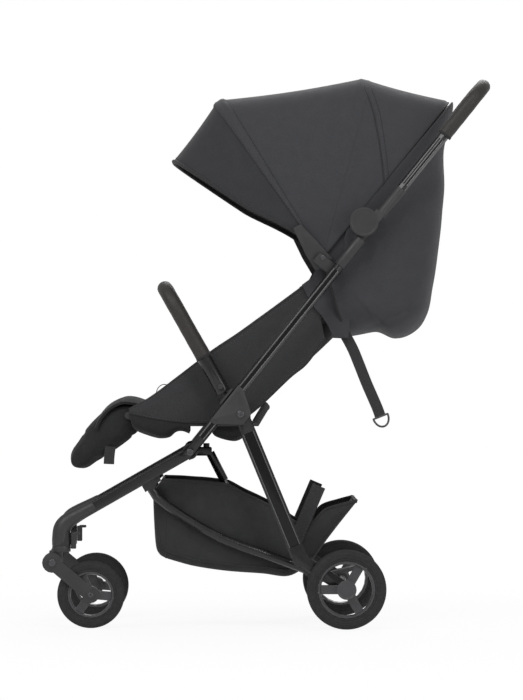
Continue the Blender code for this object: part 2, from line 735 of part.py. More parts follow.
def handle():
    """U tube of the handle and the soft grip over its top."""
    first = HUB_CLEAR + UPPER_SLEEVE_LENGTH + GAP
    route = u_loop(HANDLE_START, MAIN_ANGLE, first, HANDLE_LENGTH, MAIN_HALF_SPREAD, HANDLE_CORNER)
    node("handle_tube", "frame black", tube(route, HANDLE_TUBE_RADIUS))
    grip_start = HANDLE_LENGTH - GRIP_ARM_LENGTH
    outside = u_loop(HANDLE_START, MAIN_ANGLE, grip_start, HANDLE_LENGTH, MAIN_HALF_SPREAD,
                     HANDLE_CORNER)
    inside = u_loop(HANDLE_START, MAIN_ANGLE, grip_start - OVERRUN, HANDLE_LENGTH, MAIN_HALF_SPREAD,
                    HANDLE_CORNER)
    sleeve = tube(outside, HANDLE_TUBE_RADIUS + GRIP_THICKNESS)
    node("handle_grip", "grip brown", cut(sleeve, tube(inside, HANDLE_TUBE_RADIUS + GAP)))


def rear_legs():
    """Rear legs with their knuckles, wheel pins and the tube between them."""
    angle = bearing(REAR_PIVOT, REAR_KNUCKLE)
    length = span(REAR_PIVOT, REAR_KNUCKLE)
    arm_angle = bearing(REAR_KNUCKLE, REAR_AXLE)
    arm_length = span(REAR_KNUCKLE, REAR_AXLE)
    for name, side in SIDES:
        x = side * REAR_LEG_X
        inner = side * (REAR_LEG_X - REAR_LEG_THICKNESS / 2)
        outer = side * (REAR_LEG_X + REAR_LEG_THICKNESS / 2)
        beam = block(at(x, ahead(REAR_PIVOT, angle, length / 2)),
                     (REAR_LEG_THICKNESS, length, REAR_LEG_WIDTH), angle, LEG_EDGE)
        panel = block(at(outer, ahead(REAR_PIVOT, angle, length * REAR_PANEL_MIDDLE)),
                      (2 * REAR_PANEL_DEPTH, length * REAR_PANEL_SHARE,
                       REAR_LEG_WIDTH - 2 * REAR_PANEL_MARGIN), angle, REAR_PANEL_EDGE)
        beam = cut(beam, panel)
        arm = block(at(x, ahead(REAR_KNUCKLE, arm_angle, arm_length / 2)),
                    (REAR_LEG_THICKNESS, arm_length, REAR_ARM_WIDTH), arm_angle, REAR_ARM_EDGE)
        leg = joined(
            beam, arm,
            cross_rod(REAR_PIVOT, inner, outer, REAR_LEG_WIDTH / 2, 16),
            cross_rod(REAR_KNUCKLE, inner, outer, REAR_LEG_WIDTH / 2 + BITE, 16),
            cross_rod(REAR_AXLE, inner, outer, REAR_BOSS_RADIUS, 16),
            cross_rod(REAR_AXLE, outer - side * 2 * BITE, side * REAR_PIN_END, WHEEL_PIN_RADIUS),
            cross_rod(RAIL_REAR, inner + side * 2 * BITE, inner - side * RAIL_BOSS_REACH, RAIL_BOSS_RADIUS),
            cross_rod(RAIL_REAR, inner, side * (RAIL_HALF_SPREAD - RAIL_RADIUS), PIVOT_PIN_RADIUS),
        )
        pivot_hole = cross_rod(REAR_PIVOT, inner - side * OVERRUN, outer + side * OVERRUN,
                               PIVOT_PIN_RADIUS + RUNNING_GAP)
        brake_hole = cross_rod(BRAKE, inner - side * OVERRUN, inner + side * BRAKE_SEAT,
                               BRAKE_BAR_RADIUS + RUNNING_GAP)
        node("rear_leg_" + name, "frame black", cut(leg, pivot_hole, brake_hole))
    reach = REAR_LEG_X - REAR_LEG_THICKNESS / 2 - GAP
    node("rear_axle_tube", "frame black", cross_rod(REAR_AXLE, -reach, reach, REAR_AXLE_RADIUS))


def brake():
    """Foot brake: a bar between the rear knuckles with a pedal."""
    reach = REAR_LEG_X - REAR_LEG_THICKNESS / 2 + BRAKE_SEAT - BRAKE_END_GAP
    bar = cross_rod(BRAKE, -reach, reach, BRAKE_BAR_RADIUS)
    pedal = block(at(BRAKE_PEDAL_X, ahead(BRAKE, BRAKE_PEDAL_ANGLE, BRAKE_PEDAL_LENGTH / 2)),
                  (BRAKE_PEDAL_WIDTH, BRAKE_PEDAL_LENGTH, BRAKE_PEDAL_THICKNESS),
                  BRAKE_PEDAL_ANGLE, BLOCK_EDGE)
    node("brake_pedal", "plastic black", joined(bar, pedal))


def wheel(label, axle, x, radius, width, rim_radius, first_spoke, bore):
    """A tyre on a spoked rim. The bore runs between two x values."""
    half = width / 2
    shoulder = radius - rim_radius
    centre = at(x, axle)
    profile = [
        (rim_radius + GAP, -half * 0.84), (rim_radius + shoulder * 0.55, -half),
        (radius - shoulder * 0.13, -half * 0.80), (radius, -half * 0.36),
        (radius, half * 0.36), (radius - shoulder * 0.13, half * 0.80),
        (rim_radius + shoulder * 0.55, half), (rim_radius + GAP, half * 0.84),
    ]
    node(label[0] + "_tyre_" + label[1], "tyre", turned(profile, centre, WHEEL_STEPS))
    ring = turned([
        (rim_radius, -half * 0.80), (rim_radius, half * 0.80),
        (rim_radius - RIM_WALL, half * 0.80), (rim_radius - RIM_CROWN, 0.0),
        (rim_radius - RIM_WALL, -half * 0.80),
    ], centre, WHEEL_STEPS)
    rim = joined(ring, cross_rod(axle, x - half, x + half, WHEEL_HUB_RADIUS, 16))
    spoke_reach = rim_radius - RIM_WALL + BITE
    for count in range(SPOKE_COUNT):
        angle = first_spoke + 2 * pi * count / SPOKE_COUNT
        rim = joined(rim, block(at(x, ahead(axle, angle, (spoke_reach + SPOKE_INSET) / 2)),
                                (SPOKE_THICKNESS, spoke_reach - SPOKE_INSET, SPOKE_WIDTH), angle))
    hole = cross_rod(axle, bore[0], bore[1], WHEEL_PIN_RADIUS + RUNNING_GAP)
    node(label[0] + "_rim_" + label[1], "rim grey", cut(rim, hole))


def wheels():
    """Two rear wheels on blind bores and two front wheels in their forks."""
    for name, side in SIDES:
        x = side * REAR_WHEEL_X
        inner = x - side * (REAR_TYRE_WIDTH / 2 + OVERRUN)
        wheel(("rear", name), REAR_AXLE, x, REAR_WHEEL_RADIUS, REAR_TYRE_WIDTH,
              REAR_RIM_RADIUS, pi, (inner, side * (REAR_PIN_END + BORE_END_GAP)))
        x = side * FRONT_HALF_TRACK
        reach = side * (FRONT_TYRE_WIDTH / 2 + OVERRUN)
        wheel(("front", name), FRONT_AXLE, x, FRONT_WHEEL_RADIUS, FRONT_TYRE_WIDTH,
              FRONT_RIM_RADIUS, radians(-5), (x - reach, x + reach))


def front_legs():
    """Front legs with the posts that hold the casters, and the brackets under them."""
    elbow = (POST_Y + ELBOW_BACK, POST_TOP_Z - ELBOW_DOWN)
    angle = bearing(LOWER_PIVOT, elbow)
    length = span(LOWER_PIVOT, elbow)
    for name, side in SIDES:
        x = side * FRONT_HALF_TRACK
        half = FRONT_LEG_THICKNESS / 2
        leg = joined(
            block(at(x, ahead(LOWER_PIVOT, angle, length / 2)),
                  (FRONT_LEG_THICKNESS, length, FRONT_LEG_WIDTH), angle, LEG_EDGE),
            cross_rod(LOWER_PIVOT, x - half, x + half, FRONT_EYE_RADIUS, 16),
            rod(Vector((x, POST_Y, POST_BASE_Z)), Vector((x, POST_Y, POST_TOP_Z)), POST_RADIUS, 16),
        )
        eye = cross_rod(LOWER_PIVOT, x - half - OVERRUN, x + half + OVERRUN,
                        LOWER_CROSS_RADIUS + RUNNING_GAP)
        stem = rod(Vector((x, POST_Y, POST_BASE_Z - OVERRUN)),
                   Vector((x, POST_Y, POST_BASE_Z + STEM_LENGTH + BORE_END_GAP)),
                   STEM_RADIUS + RUNNING_GAP)
        outline = [
            ahead(RAIL_FRONT, angle, RAIL_BRACKET_FRONT, RAIL_BRACKET_DEPTH / 2),
            ahead(RAIL_FRONT, angle, -RAIL_BRACKET_REAR, RAIL_BRACKET_DEPTH / 5),
            ahead(RAIL_FRONT, angle, -RAIL_BRACKET_REAR, -RAIL_BRACKET_DEPTH),
            ahead(RAIL_FRONT, angle, RAIL_BRACKET_FRONT, -RAIL_BRACKET_DEPTH),
        ]
        high = FRONT_HALF_TRACK - half
        bracket = plate(outline, side * (high - RAIL_BRACKET_THICKNESS), side * (high + BITE))
        node("front_leg_" + name, "frame black", joined(cut(leg, eye, stem), bracket))


def casters():
    """Swivel housings, their locks, and the sprung forks that carry the front wheels."""
    arm_angle = bearing(ARM_PIVOT, FRONT_AXLE)
    arm_length = span(ARM_PIVOT, FRONT_AXLE)
    housing_half = FRONT_TYRE_WIDTH / 2
    neck_top = HOUSING_BASE_Z + 2 * BITE
    plate_low = housing_half + SIDE_PLAY
    plate_high = plate_low + ARM_PLATE
    for name, side in SIDES:
        x = side * FRONT_HALF_TRACK
        top = POST_BASE_Z - GAP
        housing = joined(
            rod(Vector((x, POST_Y, HOUSING_BASE_Z)), Vector((x, POST_Y, top)), POST_RADIUS, 16),
            rod(Vector((x, POST_Y, top - 2 * BITE)), Vector((x, POST_Y, POST_BASE_Z + STEM_LENGTH)),
                STEM_RADIUS),
            cross_rod(ARM_PIVOT, x - housing_half, x + housing_half, CASTER_EYE_RADIUS, 16),
            block(at(x, ((POST_Y + ARM_PIVOT_Y) / 2 - CASTER_NECK_SHIFT, (neck_top + ARM_PIVOT_Z) / 2)),
                  (2 * housing_half, CASTER_NECK_LENGTH, neck_top - ARM_PIVOT_Z)),
        )
        hole = cross_rod(ARM_PIVOT, x - housing_half - OVERRUN, x + housing_half + OVERRUN,
                         PIVOT_PIN_RADIUS + RUNNING_GAP)
        node("caster_" + name, "plastic black", cut(housing, hole))

        pin_half = plate_high - BITE
        fork = cross_rod(ARM_PIVOT, x - pin_half, x + pin_half, PIVOT_PIN_RADIUS)
        for low, high in ((-plate_high, -plate_low), (plate_low, plate_high)):
            fork = joined(
                fork,
                cross_rod(ARM_PIVOT, x + low, x + high, ARM_PIVOT_RADIUS, 16),
                cross_rod(FRONT_AXLE, x + low, x + high, ARM_AXLE_END_RADIUS),
                block(at(x + (low + high) / 2, ahead(ARM_PIVOT, arm_angle, arm_length / 2)),
                      (ARM_PLATE - 2 * FLUSH, arm_length, ARM_BAR_WIDTH), arm_angle),
            )
        fork = joined(
            fork,
            cross_rod(FRONT_AXLE, x - pin_half, x + pin_half, WHEEL_PIN_RADIUS),
            cross_rod(ahead(ARM_PIVOT, arm_angle, FORK_BRACE_ALONG, FORK_BRACE_ASIDE), x - pin_half,
                      x + pin_half, PIVOT_PIN_RADIUS),
        )
        bolt_end = plate_high + FORK_BOLT_HEAD
        for place in (ARM_PIVOT, FRONT_AXLE):
            for low, high in ((plate_low + BITE, bolt_end), (-bolt_end, -plate_low - BITE)):
                fork = joined(fork, cross_rod(place, x + low, x + high, BOLT_RADIUS))
        node("front_fork_" + name, "plastic black", fork)

        lever_y = POST_Y + POST_RADIUS + GAP + LOCK_DEPTH / 2
        lever = joined(
            block(Vector((x, lever_y, LOCK_BASE_Z + LOCK_HEIGHT / 2)),
                  (LOCK_WIDTH, LOCK_DEPTH, LOCK_HEIGHT), 0.0, LOCK_EDGE),
            block(Vector((x, lever_y + LOCK_WIDTH / 2, LOCK_BASE_Z + LOCK_HEIGHT - BITE)),
                  (LOCK_WIDTH, LOCK_TAB_LENGTH, LOCK_TAB_THICKNESS), 0.0, LOCK_EDGE),
        )
        node("swivel_lock_" + name, "plastic black", lever)


def rails_and_basket():
    """Curved lower side rails, and the open basket hung between them."""
    angle = bearing(RAIL_FRONT, RAIL_REAR)
    length = span(RAIL_FRONT, RAIL_REAR)
    corners = [ahead(RAIL_FRONT, angle, share * length, -drop) for share, drop in RAIL_SHAPE]
    for name, side in SIDES:
        x = side * RAIL_HALF_SPREAD
        low, high = x - side * RAIL_RADIUS, x + side * RAIL_RADIUS
        rail = joined(
            tube([at(x, place) for place in smooth_route(corners, 2)], RAIL_RADIUS, 3),
            cross_rod(RAIL_REAR, low, high, RAIL_EYE_RADIUS, 14),
            cross_rod(RAIL_FRONT, low, high, RAIL_EYE_RADIUS, 14),
        )
        hole = cross_rod(RAIL_REAR, low - side * OVERRUN, high + side * OVERRUN,
                         PIVOT_PIN_RADIUS + RUNNING_GAP)
        node("lower_rail_" + name, "frame black", cut(rail, hole))

    count = len(BASKET_FOOT)
    inside = []
    for index, place in enumerate(BASKET_FOOT):
        before = BASKET_FOOT[max(index - 1, 0)]
        after = BASKET_FOOT[min(index + 1, count - 1)]
        inside.append(ahead(place, bearing(before, after), 0.0, BASKET_WALL))
    inside[0] = (inside[0][0], inside[0][1] + BASKET_MOUTH)
    inside[-1] = ahead(inside[-1], bearing(BASKET_FOOT[-2], BASKET_FOOT[-1]), BASKET_MOUTH)
    half = BASKET_HALF_WIDTH
    outer = plate(BASKET_FOOT + BASKET_TOP, -half, half)
    inner = plate(inside, BASKET_WALL - half, half - BASKET_WALL)
    basket = cut(outer, inner)
    for name, side in SIDES:
        basket = joined(basket, block(at(side * half, STAY_MIDDLE),
                                      (2 * STAY_THICKNESS, STAY_LENGTH, STAY_WIDTH), STAY_ANGLE))
    node("basket", "seat cloth", basket)


def fold_strut():
    """Centre strut on the lower cross tube, its sliding rod and the release knob."""
    elbow = (LOWER_PIVOT_Y + STRUT_ELBOW_BACK, LOWER_PIVOT_Z - STRUT_ELBOW_DOWN)
    end = ahead(elbow, STRUT_ANGLE, STRUT_TUBE_LENGTH)
    bridge_middle = ((LOWER_PIVOT_Y + elbow[0]) / 2, (LOWER_PIVOT_Z + elbow[1]) / 2)
    strut = joined(
        cross_rod(LOWER_PIVOT, -STRUT_HALF_WIDTH, STRUT_HALF_WIDTH,
                  LOWER_CROSS_RADIUS + STRUT_EYE_WALL, 16),
        block(at(0.0, bridge_middle), (2 * STRUT_RADIUS, STRUT_BRIDGE_LENGTH, 2 * STRUT_RADIUS), 0.0,
              BLOCK_EDGE),
        rod(at(0.0, elbow), at(0.0, end), STRUT_RADIUS, 14),
    )
    eye = cross_rod(LOWER_PIVOT, -STRUT_HALF_WIDTH - OVERRUN, STRUT_HALF_WIDTH + OVERRUN,
                    LOWER_CROSS_RADIUS + GAP)
    sleeve = rod(at(0.0, ahead(elbow, STRUT_ANGLE, STRUT_ROD_START - OVERRUN)),
                 at(0.0, ahead(end, STRUT_ANGLE, OVERRUN)), STRUT_ROD_RADIUS + RUNNING_GAP)
    knob_y = LOWER_PIVOT_Y + KNOB_BACK
    knob_top = LOWER_PIVOT_Z + KNOB_TOP
    knob_foot = LOWER_PIVOT_Z - KNOB_FOOT
    pocket = rod(Vector((0.0, knob_y, knob_foot - KNOB_TRAVEL)), Vector((0.0, knob_y, knob_top)),
                 KNOB_RADIUS + RUNNING_GAP)
    node("fold_strut", "frame black", cut(strut, eye, sleeve, pocket))
    node("release_knob", "plastic black",
         rod(Vector((0.0, knob_y, knob_foot)), Vector((0.0, knob_y, knob_top)), KNOB_RADIUS))
    start = ahead(elbow, STRUT_ANGLE, STRUT_ROD_START)
    node("strut_rod", "bolt grey",
         rod(at(0.0, start), at(0.0, ahead(start, STRUT_ANGLE, STRUT_ROD_LENGTH)), STRUT_ROD_RADIUS))


def seat():
    """Seat board with its hinge ears, seat cushion and cloth side wings."""
    length = SEAT_BOARD_REAR_Y - SEAT_BOARD_FRONT_Y
    board_z = SEAT_BOARD_Z + SEAT_BOARD_THICKNESS / 2
    board = block(Vector((0.0, SEAT_BOARD_FRONT_Y + length / 2, board_z)),
                  (2 * SEAT_HALF_WIDTH, length, SEAT_BOARD_THICKNESS))
    foot_root = (SEAT_BOARD_FRONT_Y + EAR_ROOT, board_z)
    back_root = (SEAT_BOARD_REAR_Y - EAR_ROOT, board_z)
    for name, side in SIDES:
        for root, pivot, half in ((foot_root, FOOT_PIVOT, FOOTREST_HALF_WIDTH),
                                  (back_root, BACK_PIVOT, BACK_HALF_WIDTH)):
            low = half + SIDE_PLAY
            high = low + EAR_THICKNESS
            reach = span(root, pivot)
            angle = bearing(root, pivot)
            board = joined(
                board,
                block(at(side * (low + high) / 2, ahead(root, angle, reach / 2)),
                      (EAR_THICKNESS - 2 * FLUSH, reach, EAR_WIDTH), angle),
                cross_rod(pivot, side * low, side * high, EAR_RADIUS),
                cross_rod(pivot, side * (half - PIN_REACH), side * (high - BITE), PIVOT_PIN_RADIUS),
            )
    node("seat_board", "plastic black", board)

    z = SEAT_TOP_Z
    front = SEAT_BOARD_FRONT_Y + SEAT_EDGE
    rear = BACK_PIVOT[0] - BACK_THICKNESS / 2 - SEAT_BACK_GAP
    middle = (front + rear) / 2
    tall = SEAT_CUSHION_THICKNESS
    corners = [
        (front + SEAT_EDGE / 2, z + tall * 0.75), (middle, z + tall), (rear - SEAT_EDGE, z + tall * 0.95),
        (rear, z + tall * 0.50), (rear - SEAT_EDGE, z + SEAT_LIFT), (middle, z + SEAT_LIFT),
        (front + SEAT_EDGE, z + SEAT_LIFT), (front, z + tall * 0.38),
    ]
    node("seat_cushion", "seat cloth",
         cushion(corners, SEAT_HALF_WIDTH, 7, SEAT_DRAWN_IN, SEAT_CHANNELS, SEAT_CHANNEL_DEPTH))

    for name, side in SIDES:
        low = SEAT_HALF_WIDTH + GAP
        node("side_wing_" + name, "seat cloth",
             plate(WING_OUTLINE, side * low, side * (low + WING_THICKNESS)))


def backrest():
    """Backrest pad with the shoulder straps on its face, and the recline strap."""
    half = BACK_THICKNESS / 2
    local = (
        (0.0, half), (BACK_LENGTH / 2, half + BACK_CROWN), (BACK_LENGTH - BACK_TOP_ROUND, half),
        (BACK_LENGTH, 0.0), (BACK_LENGTH - BACK_TOP_ROUND, -half), (BACK_LENGTH / 2, -half),
        (0.0, -half), (-half, 0.0),
    )
    corners = [ahead(BACK_PIVOT, MAIN_ANGLE, along, aside) for along, aside in local]
    pad = cushion(corners, BACK_HALF_WIDTH, 7, BACK_DRAWN_IN, BACK_CHANNELS, BACK_CHANNEL_DEPTH)
    holes = [
        cross_rod(BACK_PIVOT, side * (BACK_HALF_WIDTH - PIN_REACH - OVERRUN),
                  side * (BACK_HALF_WIDTH + OVERRUN), PIVOT_PIN_RADIUS + RUNNING_GAP)
        for name, side in SIDES
    ]
    node("backrest", "seat cloth", cut(pad, *holes))
    waist = block(at(0.0, ahead(BACK_PIVOT, MAIN_ANGLE, WAIST_STRAP_ALONG, half + STRAP_LIFT)),
                  (2 * STRAP_SPREAD, WAIST_STRAP_WIDTH, WAIST_STRAP_THICKNESS), MAIN_ANGLE)
    straps = [
        block(at(side * STRAP_SPREAD,
                 ahead(BACK_PIVOT, MAIN_ANGLE, SHOULDER_STRAP_MIDDLE, half + STRAP_LIFT)),
              SHOULDER_STRAP, MAIN_ANGLE, LOCK_EDGE)
        for name, side in SIDES
    ]
    node("shoulder_straps", "webbing", joined(waist, *straps))
    strap_angle = bearing(RECLINE_STRAP_TOP, RECLINE_STRAP_FOOT)
    strap_length = span(RECLINE_STRAP_TOP, RECLINE_STRAP_FOOT)
    strap = block(at(RECLINE_STRAP_X, ahead(RECLINE_STRAP_TOP, strap_angle, strap_length / 2)),
                  (RECLINE_STRAP_THICKNESS, strap_length, RECLINE_STRAP_WIDTH), strap_angle)
    ring = [
        (RING_RADIUS + RING_WIRE * cos(2 * pi * step / 6), RING_WIRE * sin(2 * pi * step / 6))
        for step in range(6)
    ]
    ring_place = at(RECLINE_STRAP_X, ahead(RECLINE_STRAP_FOOT, strap_angle, RING_DROP))
    node("recline_strap", "webbing", joined(strap, turned(ring, ring_place, 14)))


def harness():
    """Crotch strap with the buckle and its push button."""
    base = (SEAT_BOARD_FRONT_Y + CROTCH_STRAP_BACK, SEAT_TOP_Z + SEAT_CUSHION_THICKNESS + BITE)
    lean = CROTCH_STRAP_ANGLE
    strap = block(at(0.0, ahead(base, lean, CROTCH_STRAP_MIDDLE)), CROTCH_STRAP, lean)
    middle = ahead(base, lean, BUCKLE_MIDDLE)
    body = block(at(0.0, middle), BUCKLE, lean, LEG_EDGE)
    pocket_foot, pocket_top = (at(0.0, ahead(middle, lean, 0.0, aside)) for aside in BUCKLE_POCKET)
    pocket = rod(pocket_foot, pocket_top, BUCKLE_BUTTON_RADIUS + RUNNING_GAP, 16)
    node("harness_buckle", "plastic black", joined(strap, cut(body, pocket)))
    button_foot, button_top = (at(0.0, ahead(middle, lean, 0.0, aside)) for aside in BUCKLE_BUTTON)
    node("buckle_button", "bolt grey", rod(button_foot, button_top, BUCKLE_BUTTON_RADIUS, 16))


def footrest():
    """Padded footrest that turns on the front of the seat board."""
    corners = [ahead(FOOT_PIVOT, FOOTREST_ANGLE, along, aside) for along, aside in FOOTREST_SECTION]
    pad = cushion(corners, FOOTREST_HALF_WIDTH, 6, FOOTREST_DRAWN_IN, FOOTREST_CHANNELS,
                  FOOTREST_CHANNEL_DEPTH)
    holes = [
        cross_rod(FOOT_PIVOT, side * (FOOTREST_HALF_WIDTH - PIN_REACH - OVERRUN),
                  side * (FOOTREST_HALF_WIDTH + OVERRUN), PIVOT_PIN_RADIUS + RUNNING_GAP)
        for name, side in SIDES
    ]
    node("footrest", "seat cloth", cut(pad, *holes))


def arch(angle, turn, reach, half_spread):
    """Point on a hood bow: a rounded square bow that stands on the hood hinge."""
    size = (abs(sin(turn)) ** BOW_ROUNDNESS + abs(cos(turn)) ** BOW_ROUNDNESS) ** (-1 / BOW_ROUNDNESS)
    return at(half_spread * size * sin(turn), ahead(HOOD_HINGE, angle, reach * size * cos(turn)))


def taut(bows, angle):
    """Reach and half width of cloth stretched straight from bow to bow, at an angle."""
    for (first, reach0, half0), (second, reach1, half1) in zip(bows, bows[1:]):
        if angle <= second:
            break
    share = (angle - first) / (second - first)
    reach = reach0 * reach1 * sin(second - first) / (
        reach0 * sin(angle - first) + reach1 * sin(second - angle))
    sag = CLOTH_SAG * 4 * share * (1 - share) * (second - first)
    return reach * (1 - sag), half0 + (half1 - half0) * share


def hood_bow(angle, reach, half_spread):
    """A flat bow of the hood with an eye at each end."""
    half = half_spread - RIB_THICKNESS / 2
    end_turn = pi / 2 - RIB_EYE_RADIUS * 0.6 / reach

    def strip(u, v):
        place = arch(angle, u * end_turn, reach - RIB_THICKNESS / 2, half)
        return place + v * RIB_WIDTH / 2 * Vector((0.0, -sin(angle), cos(angle)))

    bow = sheet(strip, 20, 1, RIB_THICKNESS)
    for name, side in SIDES:
        bow = joined(bow, cross_rod(HOOD_HINGE, side * (half_spread - RIB_THICKNESS - GAP),
                                    side * (half_spread + GAP), RIB_EYE_RADIUS, 14))
    return bow


def hood():
    """The fixed rear bow with its hinge clips, two moving bows, and the cloth over them."""
    rear_half = FRONT_RIB_HALF_SPREAD + 2 * RIB_LANE
    mid_half = FRONT_RIB_HALF_SPREAD + RIB_LANE
    clip_low = rear_half + CLIP_INSET
    clip_high = MAIN_HALF_SPREAD - MAIN_TUBE_RADIUS - GAP
    pin_low = FRONT_RIB_HALF_SPREAD - RIB_THICKNESS - HINGE_PIN_INSET
    rear = hood_bow(HOOD_REAR_ANGLE, HOOD_REAR_REACH, rear_half)
    for name, side in SIDES:
        rear = joined(
            rear,
            cross_rod(HOOD_HINGE, side * pin_low, side * (clip_low + 3 * BITE), PIVOT_PIN_RADIUS),
            block(at(side * (clip_low + clip_high) / 2,
                     along_tube(HOOD_HINGE_ALONG + CLIP_ALONG, CLIP_OFFSET)),
                  (clip_high - clip_low, *CLIP_SIZE), MAIN_ANGLE, BLOCK_EDGE),
        )
    node("hood_rear_bow", "plastic black", rear)
    for label, angle, reach, half in (
        ("mid", HOOD_MID_ANGLE, HOOD_MID_REACH, mid_half),
        ("front", HOOD_FRONT_ANGLE, HOOD_FRONT_REACH, FRONT_RIB_HALF_SPREAD),
    ):
        holes = [
            cross_rod(HOOD_HINGE, side * (half - 2 * RIB_THICKNESS), side * (half + RIB_THICKNESS),
                      PIVOT_PIN_RADIUS + RUNNING_GAP)
            for name, side in SIDES
        ]
        node("hood_" + label + "_bow", "plastic black", cut(hood_bow(angle, reach, half), *holes))

    clear = HOOD_CLOTH / 2 + CLOTH_OVER_BOW
    flat = (RIB_WIDTH / 2 + BITE) / HOOD_MID_REACH
    bows = []
    for angle, reach, half in (
        (HOOD_REAR_ANGLE, HOOD_REAR_REACH, rear_half), (HOOD_MID_ANGLE, HOOD_MID_REACH, mid_half),
        (HOOD_FRONT_ANGLE, HOOD_FRONT_REACH, FRONT_RIB_HALF_SPREAD),
    ):
        bows += [(angle - flat, reach + clear, half + clear), (angle + flat, reach + clear, half + clear)]
    bows.append((HOOD_VISOR_ANGLE, HOOD_VISOR_REACH + clear, FRONT_RIB_HALF_SPREAD + clear))

    def canopy(name, stops):
        rows = len(stops) - 1

        def cloth(u, v):
            angle = stops[round(rows * (v + 1) / 2)]
            return arch(angle, u * CLOTH_TURN, *taut(bows, angle))

        node(name, "hood cloth", sheet(cloth, 18, rows, HOOD_CLOTH))

    def stops_between(start, end, count):
        return [start + (end - start) * step / count for step in range(count + 1)]

    canopy("hood_front_cloth",
           [HOOD_MID_ANGLE + SEAM]
           + stops_between(HOOD_MID_ANGLE + flat, HOOD_FRONT_ANGLE - flat, 3)
           + stops_between(HOOD_FRONT_ANGLE + flat, HOOD_VISOR_ANGLE, 2))
    canopy("hood_rear_cloth",
           [HOOD_REAR_ANGLE + SEAM]
           + stops_between(HOOD_REAR_ANGLE + flat, HOOD_MID_ANGLE - flat, 1)
           + [HOOD_MID_ANGLE - SEAM])

    top_reach = HOOD_REAR_REACH + clear
    back = [*BACK_REACHES, *((angle, top_reach) for angle in BACK_TOP_ANGLES)]
    rows = len(back) - 1

    def back_cloth(u, v):
        angle, reach = back[round(rows * (v + 1) / 2)]
        return arch(radians(angle), u * BACK_TURN, reach, rear_half + clear)

    node("back_panel", "hood cloth", sheet(back_cloth, 14, rows, HOOD_CLOTH))


def bumper():
    """Bumper bar with its sockets, release buttons, padded sleeve and mounts."""
    route = u_loop(BUMPER_BASE, BUMPER_ANGLE, BUMPER_TUBE_START, BUMPER_LENGTH, BUMPER_HALF_SPREAD,
                   BUMPER_CORNER)
    bar = tube(route, BUMPER_TUBE_RADIUS)
    for name, side in SIDES:
        x = side * BUMPER_HALF_SPREAD
        saddle_low = BUMPER_HALF_SPREAD - SADDLE_INSET
        saddle_high = MAIN_HALF_SPREAD + MAIN_TUBE_RADIUS
        saddle = block(
            at(side * (saddle_low + saddle_high) / 2,
               along_tube(BUMPER_ALONG, MAIN_TUBE_RADIUS + GAP + SADDLE_THICKNESS / 2)),
            (saddle_high - saddle_low, SADDLE_LENGTH, SADDLE_THICKNESS), MAIN_ANGLE, LOCK_EDGE)
        peg = rod(at(x, ahead(BUMPER_BASE, BUMPER_ANGLE, -PEG_SINK)),
                  at(x, ahead(BUMPER_BASE, BUMPER_ANGLE, PEG_LENGTH)), BUMPER_PEG_RADIUS)
        node("bumper_mount_" + name, "plastic black", joined(saddle, peg))
        low, high = BUMPER_END_START, BUMPER_END_LENGTH
        end = rod(at(x, ahead(BUMPER_BASE, BUMPER_ANGLE, low)),
                  at(x, ahead(BUMPER_BASE, BUMPER_ANGLE, high)), BUMPER_END_RADIUS, 16)
        bar = joined(bar, end)
        bar = cut(
            bar,
            rod(at(x, ahead(BUMPER_BASE, BUMPER_ANGLE, low - OVERRUN)),
                at(x, ahead(BUMPER_BASE, BUMPER_ANGLE, PEG_LENGTH + OVERRUN)),
                BUMPER_PEG_RADIUS + RUNNING_GAP),
            cross_rod(ahead(BUMPER_BASE, BUMPER_ANGLE, BUTTON_ALONG),
                      side * (BUMPER_HALF_SPREAD + BUMPER_PEG_RADIUS + SOCKET_WALL),
                      side * (BUMPER_HALF_SPREAD + 2 * BUMPER_END_RADIUS), BUTTON_RADIUS + RUNNING_GAP),
        )
        button_low = BUMPER_HALF_SPREAD + BUMPER_PEG_RADIUS + SOCKET_WALL + BUTTON_TRAVEL
        node("bumper_button_" + name, "bolt grey",
             cross_rod(ahead(BUMPER_BASE, BUMPER_ANGLE, BUTTON_ALONG), side * button_low,
                       side * (BUMPER_HALF_SPREAD + BUMPER_END_RADIUS + BUTTON_PROUD), BUTTON_RADIUS))
    node("bumper_bar", "frame black", bar)
    outside = u_loop(BUMPER_BASE, BUMPER_ANGLE, BUMPER_END_LENGTH + GAP, BUMPER_LENGTH,
                     BUMPER_HALF_SPREAD, BUMPER_CORNER)
    inside = u_loop(BUMPER_BASE, BUMPER_ANGLE, BUMPER_END_LENGTH - OVERRUN, BUMPER_LENGTH,
                    BUMPER_HALF_SPREAD, BUMPER_CORNER)
    node("bumper_sleeve", "grip brown",
         cut(tube(outside, BUMPER_SLEEVE_RADIUS), tube(inside, BUMPER_TUBE_RADIUS + GAP)))


def build():
    """Clear the scene and model every sub-part."""
    for old in list(bpy.data.objects):
        bpy.data.objects.remove(old)
    bpy.context.scene.collection.children.link(bpy.data.collections.new(COLLECTION))
    material("frame black", (0.020, 0.020, 0.022), 0.35, 0.3)
    material("plastic black", (0.045, 0.045, 0.048), 0.50)
    material("bolt grey", (0.10, 0.10, 0.11), 0.40, 0.6)
    material("tyre", (0.022, 0.021, 0.022), 0.80)
    material("rim grey", (0.060, 0.060, 0.065), 0.50)
    material("grip brown", (0.035, 0.030, 0.028), 0.75)
    material("hood cloth", (0.042, 0.043, 0.048), 0.90)
    material("seat cloth", (0.033, 0.034, 0.037), 0.90)
    material("webbing", (0.020, 0.020, 0.022), 0.85)
    main_frame()
    hubs()
    handle()
    rear_legs()
    brake()
    wheels()
    front_legs()
    casters()
    rails_and_basket()
    fold_strut()
    seat()
    backrest()
    harness()
    footrest()
    hood()
    bumper()


build()
